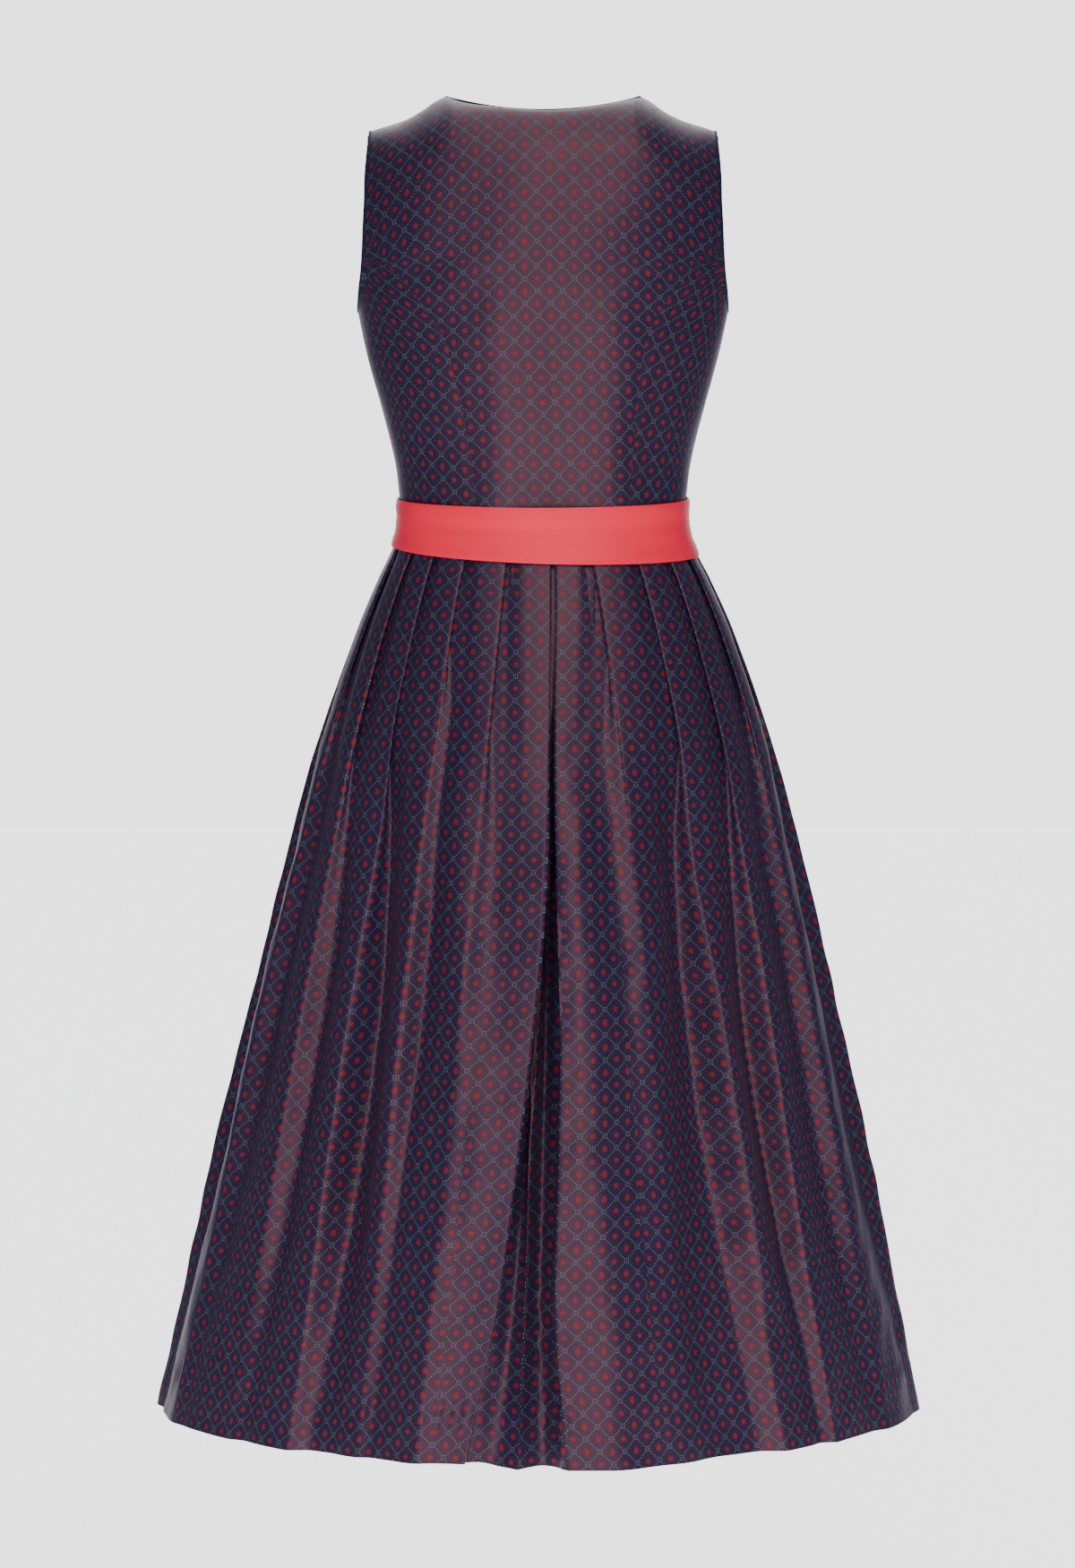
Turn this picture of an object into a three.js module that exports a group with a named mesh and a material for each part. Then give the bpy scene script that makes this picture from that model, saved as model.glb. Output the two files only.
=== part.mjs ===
// A sleeveless dirndl: a fitted bodice with princess seams, a skirt of knife pleats that all point to an
// inverted pleat at the centre back, a satin sash, and the apron that hangs from the sash at the front.
// It keeps the hollow form that it has when it is worn.
//
// Units are millimetres and degrees. +Z is up, the front faces -Y, and +X is the wearer's left.
// The origin lies midway between the shoulder seams, level with their neck ends.
import * as THREE from 'three';

// Heights
const WAIST_Z = -350;
const HEM_Z = -1086;
const APRON_HEM_Z = -1035;
const HEM_LIFT = 1; // how much higher the hem hangs at the sides than at the back
const HEM_LIFT_LEFT = 4; // and how much higher beside the left edge of the inverted pleat

// Cloth
const BODICE_WALL = 1.6;
const SKIRT_WALL = 1.0;
const SASH_WALL = 1.2;
const APRON_WALL = 1.0;
const SEAM_GAP = 0.3;
const SEAM_SETBACK = 0.4; // measured level, so that slanting seams too stay a gap apart
const PIPING_RADIUS = 1.4;
const PIPING_SIDES = 6;

// Neck, shoulder and armhole
const NECK_HALF_WIDTH = 80;
const BACK_NECK_DROP = 11.5;
const BACK_NECK_DEPTH = 62; // how far behind the shoulder seams the neck edge runs
const FRONT_NECK_DROP = 165;
const FRONT_NECK_SQUARENESS = 2.6;
const SHOULDER_TIP_X = 140;
const SHOULDER_ROUND = 45; // height over which the strap bends forward to its seam
const ARMHOLE_Z = -101.5;
const ARMHOLE_HALF_HEIGHT = 74;
const ARMHOLE_BACK = 52;
const ARMHOLE_FRONT_LOW = 58;
const ARMHOLE_FRONT_HIGH = 40;
const PRINCESS_TOP_Z = -121; // where the princess seams run into the armholes
const CENTRE_BACK_SHIFT = -8; // the worn bodice and skirt sit turned by this much at the waist

// The shoulder seam, seen from behind
const SHOULDER_LINE = [
  { x: 80, z: 0 },
  { x: 86, z: -3 },
  { x: 91, z: -6.2 },
  { x: 96, z: -9.8 },
  { x: 102, z: -13.6 },
  { x: 109, z: -17.4 },
  { x: 119, z: -21.2 },
  { x: 131, z: -24.6 },
  { x: 140, z: -27.5 },
];

// Horizontal sections of the bodice. pinch draws the section in at its diagonals, and below 0 fills them.
const TORSO = [
  { z: 0, half: 150, back: 80, front: 64, pinch: -0.04 },
  { z: -45, half: 155, back: 90, front: 74, pinch: -0.04 },
  { z: -100, half: 161, back: 102, front: 92, pinch: -0.04 },
  { z: -150, half: 156, back: 105, front: 110, pinch: -0.04 },
  { z: -175, half: 151, back: 104, front: 118, pinch: -0.04 },
  { z: -208, half: 144, back: 102, front: 124, pinch: -0.04 },
  { z: -252, half: 132, back: 98, front: 122, pinch: -0.04 },
  { z: -297, half: 121, back: 93, front: 108, pinch: -0.04 },
  { z: -325, half: 117.5, back: 90.3, front: 101, pinch: -0.04 },
  { z: -350, half: 115.5, back: 88.5, front: 97, pinch: -0.04 },
];

// Horizontal sections of the skirt, along the ridges of its folds. sway moves a section to the wearer's left.
const SKIRT = [
  { z: -350, half: 118, back: 91, front: 99, pinch: -0.04, sway: 0 },
  { z: -369, half: 124, back: 97, front: 104, pinch: -0.03, sway: -0.4 },
  { z: -393, half: 136, back: 108, front: 113, pinch: -0.02, sway: -0.9 },
  { z: -437, half: 155.4, back: 127, front: 128, pinch: 0, sway: -1.4 },
  { z: -526, half: 187.2, back: 156, front: 152, pinch: 0.02, sway: -1.4 },
  { z: -615, half: 211.3, back: 180, front: 174, pinch: 0.035, sway: -0.8 },
  { z: -704, half: 234, back: 200, front: 194, pinch: 0.045, sway: 0 },
  { z: -837, half: 264.5, back: 225, front: 219, pinch: 0.055, sway: 1.6 },
  { z: -970, half: 293.3, back: 247, front: 240, pinch: 0.06, sway: 2.9 },
  { z: -1086, half: 318.5, back: 262.5, front: 255.5, pinch: 0.055, sway: 4 },
];

// Princess seams: distance from the centre line
const BACK_PRINCESS = [
  { z: -121, x: 145 },
  { z: -137, x: 123 },
  { z: -152, x: 110 },
  { z: -165, x: 99.5 },
  { z: -180, x: 89 },
  { z: -195, x: 81 },
  { z: -220, x: 75.5 },
  { z: -255, x: 69 },
  { z: -300, x: 64 },
  { z: -350, x: 60 },
];
const FRONT_PRINCESS = [
  { z: -121, x: 134 },
  { z: -137, x: 117 },
  { z: -152, x: 105 },
  { z: -165, x: 96 },
  { z: -180, x: 89 },
  { z: -195, x: 85 },
  { z: -220, x: 81 },
  { z: -255, x: 76 },
  { z: -300, x: 66 },
  { z: -350, x: 58 },
];

// Bust: two soft mounds added to the front
const BUST = { depth: 8, x: 74, z: -226, spreadX: 40, spreadZ: 46 };

// Heights of the bodice's rows below the straps, then the angles of the rows that go round the shoulder
const BODICE_ROWS = [-350, -325, -300, -255, -220, -195, -180, -165, -161, -152, -137, -121, -95, -71];
const PRINCESS_ROWS = 12;
const SHOULDER_STEPS = [65, 42, 20, 0];

// Centre front: the right front laps over the left and is buttoned
const LAP_HALF_WIDTH = 8;
const LAP_LIFT = BODICE_WALL + 1.2;
const BUTTON_RADIUS = 5.5;
const BUTTON_HEIGHT = 3;
const BUTTON_HEIGHTS = [-177, -203, -229, -255, -281, -307];

// Knife pleats on the wearer's left and right. waist and hem are the angles of the fold edge round the body
// from the centre back, opensAt is the height where its crease has opened, and middle and lower are the
// depths of the fold behind its ridge halfway down and at the hem.
const LEFT_PLEATS = [
  { waist: 13.6, hem: 17.5, opensAt: -640, middle: 15, lower: 7 },
  { waist: 30, hem: 29, opensAt: -520, middle: 8, lower: 4 },
  { waist: 44.5, hem: 42.5, opensAt: -760, middle: 17, lower: 8 },
  { waist: 59, hem: 56.5, opensAt: -700, middle: 16, lower: 7 },
  { waist: 75, hem: 74, opensAt: -600, middle: 10, lower: 5 },
  { waist: 92, hem: 92, opensAt: -640, middle: 12, lower: 6 },
  { waist: 108.5, hem: 109, opensAt: -600, middle: 12, lower: 7 },
  { waist: 125, hem: 126, opensAt: -640, middle: 13, lower: 6 },
  { waist: 141.5, hem: 142, opensAt: -600, middle: 11, lower: 6 },
  { waist: 158, hem: 158, opensAt: -620, middle: 12, lower: 7 },
];
const RIGHT_PLEATS = [
  { waist: 18, hem: 24, opensAt: -540, middle: 9, lower: 5 },
  { waist: 36, hem: 42, opensAt: -720, middle: 17, lower: 9 },
  { waist: 53, hem: 53, opensAt: -760, middle: 17, lower: 8 },
  { waist: 70.5, hem: 68, opensAt: -640, middle: 13, lower: 6 },
  { waist: 88, hem: 87, opensAt: -600, middle: 11, lower: 5 },
  { waist: 105, hem: 105, opensAt: -640, middle: 12, lower: 7 },
  { waist: 121.5, hem: 122, opensAt: -600, middle: 12, lower: 6 },
  { waist: 138, hem: 139, opensAt: -640, middle: 11, lower: 7 },
  { waist: 154.5, hem: 155, opensAt: -620, middle: 12, lower: 6 },
];
const PLEAT_OVERLAP = 19; // depth of a pressed pleat at the waist
const LAYER_PITCH = 1.7; // from one layer of a pressed pleat to the next
const MIDDLE_Z = -800;
// Where the points of one pleat lie once it has opened, as shares of the way to the next ridge, and how far
// down its fold each one is
const OPEN_PLEAT = [
  { along: 0, down: 0 },
  { along: 0.1, down: 0.04 },
  { along: 0.28, down: 0.32 },
  { along: 0.46, down: 0.8 },
  { along: 0.6, down: 1 },
  { along: 0.72, down: 0.86 },
  { along: 0.83, down: 0.45 },
  { along: 0.93, down: 0.1 },
];

// The inverted pleat at the centre back: where its two edges run, measured round the skirt from the centre
// line, and how far its underlay lies behind them on the left, at its seam and on the right
const INVERTED_PLEAT = [
  { z: -350, left: -6.4, right: -9.6, seam: -8, underLeft: 3.4, underSeam: 3.4, underRight: 3.4 },
  { z: -440, left: -4.8, right: -8.9, seam: -7, underLeft: 6, underSeam: 7, underRight: 6 },
  { z: -540, left: -3, right: -8.4, seam: -5, underLeft: 11, underSeam: 15, underRight: 11 },
  { z: -660, left: 0.8, right: -9.8, seam: 1, underLeft: 15, underSeam: 24, underRight: 17 },
  { z: -760, left: 9.5, right: -13.5, seam: 6, underLeft: 16, underSeam: 25, underRight: 20 },
  { z: -860, left: 21, right: -13.5, seam: 9.5, underLeft: 15, underSeam: 19, underRight: 21 },
  { z: -960, left: 34, right: -12, seam: 12, underLeft: 13, underSeam: 11, underRight: 16 },
  { z: -1086, left: 58, right: -23, seam: 16, underLeft: 10, underSeam: 4, underRight: 6 },
];
const INVERTED_DEPTH = 34; // how far the underlay reaches behind each edge at the waist
const INVERTED_DEPTH_HEM = 26;

const SKIRT_ROWS = [0, 22, 45, 82, 132, 192, 262, 342, 432, 532, 634, 736]; // below the waist seam

// Sash and bow
const SASH_TOP_Z = -326;
const SASH_BOTTOM_Z = -368;
const SASH_BACK_DIP_TOP = 5;
const SASH_BACK_DIP_BOTTOM = 8;
const SASH_TILT = 4; // its lower edge sits this much higher on the left and lower on the right
const SASH_STEPS = 52;
const KNOT_ANGLE = 157;
const KNOT_SIZE = { across: 11, out: 8, up: 15 };
const LOOP_LENGTH = 64;
const LOOP_STEPS = 18;
const TAIL_LENGTH = 310;
const TAIL_WIDTH = 42;

// Apron
const APRON_HALF_ANGLE_WAIST = 58;
const APRON_HALF_ANGLE_HEM = 56;
const APRON_WAVES = 11;
const APRON_WAVE_DEPTH = 9;
const APRON_ROWS = [1, 0.77, 0.55, 0.35, 0.2, 0.1, 0.04, 0]; // shares of the way down
const APRON_STEPS = 66;

const toRadians = THREE.MathUtils.degToRad;
const smooth = (t) => {
  const c = Math.min(1, Math.max(0, t));
  return c * c * (3 - 2 * c);
};
const mix = (a, b, t) => a + (b - a) * t;

// A column of a table at height z (or along another key), on a smooth curve through its rows
function read(table, column, at, key = 'z') {
  const rising = table[table.length - 1][key] > table[0][key];
  const rows = rising ? table : [...table].reverse();
  if (at <= rows[0][key]) return rows[0][column];
  if (at >= rows[rows.length - 1][key]) return rows[rows.length - 1][column];
  let i = 0;
  while (rows[i + 1][key] < at) i++;
  const slope = (j) => {
    const a = rows[Math.max(0, j - 1)];
    const b = rows[Math.min(rows.length - 1, j + 1)];
    return (b[column] - a[column]) / (b[key] - a[key]);
  };
  const span = rows[i + 1][key] - rows[i][key];
  const t = (at - rows[i][key]) / span;
  const [t2, t3] = [t * t, t * t * t];
  return (
    rows[i][column] * (2 * t3 - 3 * t2 + 1) +
    slope(i) * span * (t3 - 2 * t2 + t) +
    rows[i + 1][column] * (3 * t2 - 2 * t3) +
    slope(i + 1) * span * (t3 - t2)
  );
}

function sectionAt(table, z) {
  const section = { sway: 0 };
  for (const column of Object.keys(table[0])) {
    if (column !== 'z') section[column] = read(table, column, z);
  }
  return section;
}

// A point of a section. The angle is 0 at the centre back and grows towards the wearer's left.
function sectionPoint(section, angle) {
  const depth = Math.cos(angle) > 0 ? section.back : section.front;
  const scale = 1 - section.pinch * Math.sin(2 * angle) ** 2;
  return [section.sway + section.half * Math.sin(angle) * scale, depth * Math.cos(angle) * scale];
}

// The level direction that points out of a section
function sectionNormal(section, angle) {
  const step = 0.002;
  const a = sectionPoint(section, angle - step);
  const b = sectionPoint(section, angle + step);
  const length = Math.hypot(b[0] - a[0], b[1] - a[1]);
  return [-(b[1] - a[1]) / length, (b[0] - a[0]) / length];
}

// A section measured along its outline from the centre back: arcOf(angle) and angleOf(arc)
function measured(section) {
  const steps = 720;
  const arcs = [0];
  for (let i = 1; i <= steps; i++) {
    const a = sectionPoint(section, ((i - 1) / steps) * Math.PI);
    const b = sectionPoint(section, (i / steps) * Math.PI);
    arcs.push(arcs[i - 1] + Math.hypot(b[0] - a[0], b[1] - a[1]));
  }
  const arcOf = (angle) => {
    const place = (Math.abs(angle) / Math.PI) * steps;
    const i = Math.min(steps - 1, Math.floor(place));
    return Math.sign(angle) * mix(arcs[i], arcs[i + 1], place - i);
  };
  const angleOf = (arc) => {
    let [low, high] = [0, steps];
    while (high - low > 1) {
      const middle = (low + high) >> 1;
      if (arcs[middle] > Math.abs(arc)) high = middle;
      else low = middle;
    }
    const share = (Math.abs(arc) - arcs[low]) / (arcs[high] - arcs[low]);
    return (Math.sign(arc) * (low + share) * Math.PI) / steps;
  };
  return { section, arcOf, angleOf, half: arcs[steps] };
}

// Builds one closed wall from two grids of points, the outer one and the inner one. Rows run upwards and
// points run from the wearer's right to left, seen from behind. A looped wall closes on itself.
function wall(outer, inner, looped = false) {
  const rows = outer.length;
  const columns = outer[0].length;
  const positions = [...outer.flat(), ...inner.flat()].flatMap((p) => [p.x, p.y, p.z]);
  const indices = [];
  const id = (side, r, c) => side * rows * columns + r * columns + (c % columns);
  const quad = (a, b, c, d) => indices.push(a, b, c, a, c, d);
  const last = looped ? columns : columns - 1;
  for (let r = 0; r < rows - 1; r++) {
    for (let c = 0; c < last; c++) {
      quad(id(0, r, c), id(0, r + 1, c), id(0, r + 1, c + 1), id(0, r, c + 1));
      quad(id(1, r, c), id(1, r, c + 1), id(1, r + 1, c + 1), id(1, r + 1, c));
    }
  }
  for (let c = 0; c < last; c++) {
    quad(id(0, 0, c), id(0, 0, c + 1), id(1, 0, c + 1), id(1, 0, c));
    quad(id(0, rows - 1, c), id(1, rows - 1, c), id(1, rows - 1, c + 1), id(0, rows - 1, c + 1));
  }
  if (!looped) {
    for (let r = 0; r < rows - 1; r++) {
      quad(id(0, r, 0), id(1, r, 0), id(1, r + 1, 0), id(0, r + 1, 0));
      const c = columns - 1;
      quad(id(0, r, c), id(0, r + 1, c), id(1, r + 1, c), id(1, r, c));
    }
  }
  const geometry = new THREE.BufferGeometry();
  geometry.setAttribute('position', new THREE.Float32BufferAttribute(positions, 3));
  geometry.setIndex(indices);
  geometry.computeVertexNormals();
  return geometry;
}

// Turns a grid of { point, normal } into a wall of the given thickness with the grid at its middle
function wallAbout(grid, thickness, looped = false) {
  const shifted = (by) =>
    grid.map((row) => row.map((g) => g.point.clone().addScaledVector(g.normal, by)));
  return wall(shifted(thickness / 2), shifted(-thickness / 2), looped);
}

const material = (color, roughness, metalness = 0) =>
  new THREE.MeshStandardMaterial({ color, roughness, metalness });
const jacquard = material('#3b2f40', 0.55);
const piping = material('#1c2740', 0.5);
const satin = material('#e8474e', 0.4);
const buttonMetal = material('#26304a', 0.4);

const dirndl = new THREE.Group();
function add(name, geometry, cloth) {
  const mesh = new THREE.Mesh(geometry, cloth);
  mesh.name = name;
  dirndl.add(mesh);
  return mesh;
}

// Bodice: one surface behind and one in front, which its panels are cut from

const shoulderHeight = (x) => read(SHOULDER_LINE, 'z', Math.abs(x), 'x');

// side is 1 behind and -1 in front
function topEdge(x, side) {
  if (Math.abs(x) >= NECK_HALF_WIDTH) return { z: shoulderHeight(x), depth: 0 };
  const rounding = 1 - (x / NECK_HALF_WIDTH) ** 2;
  return side > 0
    ? { z: -BACK_NECK_DROP * rounding, depth: BACK_NECK_DEPTH * Math.sqrt(rounding) }
    : { z: 0, depth: 0 };
}

function angleAtX(section, x, side) {
  let [low, high] = [0, Math.PI / 2];
  for (let i = 0; i < 30; i++) {
    const middle = (low + high) / 2;
    if (sectionPoint(section, middle)[0] < Math.abs(x)) low = middle;
    else high = middle;
  }
  return side > 0 ? low : Math.PI - low;
}

function bustSwell(x, z) {
  const across = (Math.abs(x) - BUST.x) / BUST.spreadX;
  const along = (z - BUST.z) / BUST.spreadZ;
  return BUST.depth * Math.exp(-across * across - along * along);
}

// How far the bodice lies behind (or in front of) the shoulder seams at a place seen from behind
function bodiceDepth(x, z, side) {
  const section = sectionAt(TORSO, z);
  const full = Math.abs(sectionPoint(section, angleAtX(section, x, side))[1]);
  const swelled = full + (side < 0 ? bustSwell(x, z) * Math.min(1, full / 60) : 0);
  const top = topEdge(x, side);
  const below = Math.min(1, Math.max(0, (top.z - z) / SHOULDER_ROUND));
  return top.depth + (swelled - top.depth) * Math.sqrt(1 - (1 - below) ** 2);
}

function armholeDepth(z, side) {
  const rise = Math.min(1, Math.abs((z - ARMHOLE_Z) / ARMHOLE_HALF_HEIGHT));
  const front = mix(ARMHOLE_FRONT_LOW, ARMHOLE_FRONT_HIGH, smooth((z + 120) / 95));
  return (side > 0 ? ARMHOLE_BACK : front) * Math.sqrt(1 - rise * rise);
}

// Where the armhole cuts the bodice at height z
function armholeX(z, side) {
  const wanted = armholeDepth(z, side);
  let [low, high] = [60, Math.min(sectionAt(TORSO, z).half, shoulderReach(z))];
  for (let i = 0; i < 40; i++) {
    const middle = (low + high) / 2;
    if (bodiceDepth(middle, z, side) > wanted) low = middle;
    else high = middle;
  }
  return low;
}

// The furthest x at which the shoulder line is still above height z
function shoulderReach(z) {
  if (z <= shoulderHeight(SHOULDER_TIP_X)) return Infinity;
  return read(SHOULDER_LINE, 'x', z, 'z');
}

const centreShift = (z) => CENTRE_BACK_SHIFT * smooth((z - PRINCESS_TOP_Z) / (WAIST_Z - PRINCESS_TOP_Z));

function panelEdgeX(z, side) {
  if (z > PRINCESS_TOP_Z) return z > -31 ? SHOULDER_TIP_X : armholeX(z, side);
  const table = side > 0 ? BACK_PRINCESS : FRONT_PRINCESS;
  const join = smooth((z - PRINCESS_TOP_Z + 16) / 16); // eases the seam into the armhole's own edge
  return mix(read(table, 'x', z), armholeX(PRINCESS_TOP_Z, side), join);
}

// The same edge for a centre panel, set back where it meets a side panel in a seam
const centreEdgeX = (z, side) => panelEdgeX(z, side) - (z > PRINCESS_TOP_Z ? 0 : SEAM_SETBACK);

const bodicePoint = (x, z, side, lift = () => 0) =>
  new THREE.Vector3(x, side * (bodiceDepth(x, z, side) + lift(x)), z);

// The same point with the direction out of the cloth, found from points near it
function onBodice(x, z, side, lift) {
  const step = 0.5;
  const point = bodicePoint(x, z, side, lift);
  const across = bodicePoint(x + step, z, side, lift).sub(bodicePoint(x - step, z, side, lift));
  const up = point.clone().sub(bodicePoint(x, z - step, side, lift));
  const normal = across.cross(up).normalize().multiplyScalar(-side);
  return { point, normal };
}

// The side panels follow the sections round to the side seam, where x and z no longer suit
function onSide(angle, z) {
  const at = (a, h) => {
    const section = sectionAt(TORSO, h);
    const [x, y] = sectionPoint(section, a);
    const swell = Math.cos(a) < 0 ? bustSwell(x, h) * Math.min(1, -y / 60) : 0;
    return new THREE.Vector3(x, y - swell, h);
  };
  const point = at(angle, z);
  const across = at(angle + 0.004, z).sub(at(angle - 0.004, z));
  const up = at(angle, z + 0.5).sub(at(angle, z - 0.5));
  return { point, normal: up.cross(across).normalize() };
}

// Heights of one column of a centre panel, from the waist seam to its top edge
function columnHeights(top) {
  const highest = BODICE_ROWS[BODICE_ROWS.length - 1];
  const join = top - SHOULDER_ROUND;
  const lower = BODICE_ROWS.map((z) => {
    const share = Math.max(0, (z - PRINCESS_TOP_Z) / (highest - PRINCESS_TOP_Z));
    return Math.max(WAIST_Z + SEAM_GAP / 2, z + share * (join - highest));
  });
  const upper = SHOULDER_STEPS.map((a) => top - SHOULDER_ROUND * (1 - Math.cos(toRadians(a))));
  return [...lower, ...upper];
}

// The two surfaces meet at the shoulder seam, so each stops half a seam gap short of it
const offShoulderSeam = (g, side) => {
  if (side * g.point.y < SEAM_GAP / 2) g.point.y = (side * SEAM_GAP) / 2;
  return g;
};

// Where the back panel's columns end, on the neck edge and along the shoulder seam
const BACK_COLUMN_TOPS = [0, 16, 32, 49, 66, NECK_HALF_WIDTH, 100, 120, SHOULDER_TIP_X];
const BACK_COLUMNS = 2 * (BACK_COLUMN_TOPS.length - 1);
function backCentreGrid() {
  const columns = [];
  const half = BACK_COLUMNS / 2;
  for (let c = 0; c <= BACK_COLUMNS; c++) {
    const u = (Math.sign(c - half) * BACK_COLUMN_TOPS[Math.abs(c - half)]) / SHOULDER_TIP_X;
    const top = topEdge(u * SHOULDER_TIP_X, 1).z;
    columns.push(
      columnHeights(top).map((z) => {
        const x = centreShift(z) + u * centreEdgeX(z, 1);
        return offShoulderSeam(onBodice(x, z, 1), 1);
      }),
    );
  }
  return transpose(columns);
}

const transpose = (columns) => columns[0].map((_, r) => columns.map((column) => column[r]));

// A centre front panel. hand is 1 on the wearer's left and -1 on the right.
const FRONT_COLUMNS = 8;
const neckEdgeX = (z) => {
  const share = Math.min(1, Math.max(0, -z / FRONT_NECK_DROP)) ** FRONT_NECK_SQUARENESS;
  return NECK_HALF_WIDTH * (1 - share) ** (1 / FRONT_NECK_SQUARENESS);
};
function frontCentreGrid(hand) {
  const lift = hand > 0 ? undefined : (x) => LAP_LIFT * smooth((x + 50) / 30);
  const columns = [];
  for (let c = 0; c <= FRONT_COLUMNS; c++) {
    const u = c / FRONT_COLUMNS;
    const topX = mix(NECK_HALF_WIDTH, SHOULDER_TIP_X, u);
    columns.push(
      columnHeights(shoulderHeight(topX)).map((z) => {
        const inner = z <= -FRONT_NECK_DROP + 0.5 ? -LAP_HALF_WIDTH : neckEdgeX(z);
        const x = hand * mix(inner, centreEdgeX(z, -1), u);
        return offShoulderSeam(onBodice(x, z, -1, lift), -1);
      }),
    );
  }
  const grid = transpose(hand > 0 ? [...columns].reverse() : columns);
  return grid;
}

// A side panel, from the princess seam to the side seam. hand as above, and side is 1 behind.
const SIDE_COLUMNS = 6;
function sideGrid(hand, side) {
  const rows = BODICE_ROWS.slice(0, PRINCESS_ROWS);
  const [lowest, highest] = [rows[0], rows[rows.length - 1]];
  const seamAngle = (z) => {
    const shift = side > 0 ? centreShift(z) * hand : 0;
    const edge = panelEdgeX(z, side) + SEAM_SETBACK + shift;
    return angleAtX(sectionAt(TORSO, z), edge, side);
  };
  const angleAt = (u, z) => {
    const sideSeam = Math.PI / 2 - (side * SEAM_GAP) / 2 / sectionAt(TORSO, z).back;
    return mix(seamAngle(z), sideSeam, u);
  };
  // the armhole runs over the top of the panel: find where it crosses each column
  const topOf = (u) => {
    let [low, high] = [ARMHOLE_Z - ARMHOLE_HALF_HEIGHT, PRINCESS_TOP_Z];
    for (let i = 0; i < 30; i++) {
      const middle = (low + high) / 2;
      const y = Math.abs(sectionPoint(sectionAt(TORSO, middle), angleAt(u, middle))[1]);
      if (y > armholeDepth(middle, side)) low = middle;
      else high = middle;
    }
    return low;
  };
  const columns = [];
  for (let c = 0; c <= SIDE_COLUMNS; c++) {
    const u = c / SIDE_COLUMNS;
    const top = topOf(u);
    columns.push(
      rows.map((row) => {
        const z = mix(lowest + SEAM_GAP / 2, top, (row - lowest) / (highest - lowest));
        return onSide(hand * angleAt(u, z), z);
      }),
    );
  }
  // seen from behind, points run from the wearer's right to left
  const rightToLeft = hand * side > 0 ? columns : [...columns].reverse();
  return transpose(rightToLeft);
}

const backCentre = backCentreGrid();
const frontLeft = frontCentreGrid(1);
const frontRight = frontCentreGrid(-1);
const sides = {};
add('bodice_back', wallAbout(backCentre, BODICE_WALL), jacquard);
add('bodice_front_left', wallAbout(frontLeft, BODICE_WALL), jacquard);
add('bodice_front_right', wallAbout(frontRight, BODICE_WALL), jacquard);
for (const [hand, handName] of [[1, 'left'], [-1, 'right']]) {
  for (const [side, sideName] of [[1, 'back'], [-1, 'front']]) {
    const grid = sideGrid(hand, side);
    sides[`${sideName}_${handName}`] = grid;
    add(`bodice_side_${sideName}_${handName}`, wallAbout(grid, BODICE_WALL), jacquard);
  }
}

// Piping: a round cord sewn along the neck edge and round each armhole

// Places along an edge moved off the cloth, each with two directions across the cord. The cloth lies on the
// left of the path, seen from outside.
function besideEdge(edge, looped) {
  const count = edge.length;
  return edge.map((g, i) => {
    const before = edge[looped ? (i + count - 1) % count : Math.max(0, i - 1)].point;
    const after = edge[looped ? (i + 1) % count : Math.min(count - 1, i + 1)].point;
    const along = after.clone().sub(before).normalize();
    const out = along.cross(g.normal).normalize();
    const centre = g.point.clone().addScaledVector(out, PIPING_RADIUS + 2 * SEAM_GAP);
    return { centre, out, normal: g.normal };
  });
}

function cord(path, radius, sides, looped) {
  const ring = (p) => {
    const normal = p.normal.clone().addScaledVector(p.out, -p.normal.dot(p.out)).normalize();
    return Array.from({ length: sides }, (_, i) => {
      const a = (i / sides) * 2 * Math.PI;
      return p.centre
        .clone()
        .addScaledVector(p.out, radius * Math.cos(a))
        .addScaledVector(normal, radius * Math.sin(a));
    });
  };
  const rings = path.map(ring);
  const positions = rings.flat().flatMap((p) => [p.x, p.y, p.z]);
  const indices = [];
  const count = rings.length;
  for (let r = 0; r < (looped ? count : count - 1); r++) {
    for (let s = 0; s < sides; s++) {
      const a = r * sides + s;
      const b = r * sides + ((s + 1) % sides);
      const c = ((r + 1) % count) * sides + ((s + 1) % sides);
      const d = ((r + 1) % count) * sides + s;
      indices.push(a, b, c, a, c, d);
    }
  }
  if (!looped) {
    for (let s = 1; s < sides - 1; s++) {
      indices.push(0, s + 1, s);
      const end = (count - 1) * sides;
      indices.push(end, end + s, end + s + 1);
    }
  }
  const geometry = new THREE.BufferGeometry();
  geometry.setAttribute('position', new THREE.Float32BufferAttribute(positions, 3));
  geometry.setIndex(indices);
  geometry.computeVertexNormals();
  return facingOut(geometry);
}

// Turns a closed shape's faces round if they point in
function facingOut(geometry) {
  const p = geometry.attributes.position;
  const index = geometry.index.array;
  let volume = 0;
  for (let i = 0; i < index.length; i += 3) {
    const [a, b, c] = [0, 1, 2].map((k) => new THREE.Vector3().fromBufferAttribute(p, index[i + k]));
    volume += a.dot(b.cross(c));
  }
  if (volume < 0) {
    for (let i = 0; i < index.length; i += 3) [index[i + 1], index[i + 2]] = [index[i + 2], index[i + 1]];
  }
  return geometry;
}

// Leaves out places that lie closer together than the cord is thick
function spaced(edge) {
  const kept = [edge[0]];
  for (const g of edge) {
    if (g.point.distanceTo(kept[kept.length - 1].point) > 2 * PIPING_RADIUS) kept.push(g);
  }
  return kept;
}

const columnOf = (grid, c) => grid.map((row) => row[c]);
const neckFirstRow = BODICE_ROWS.indexOf(-FRONT_NECK_DROP);

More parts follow.
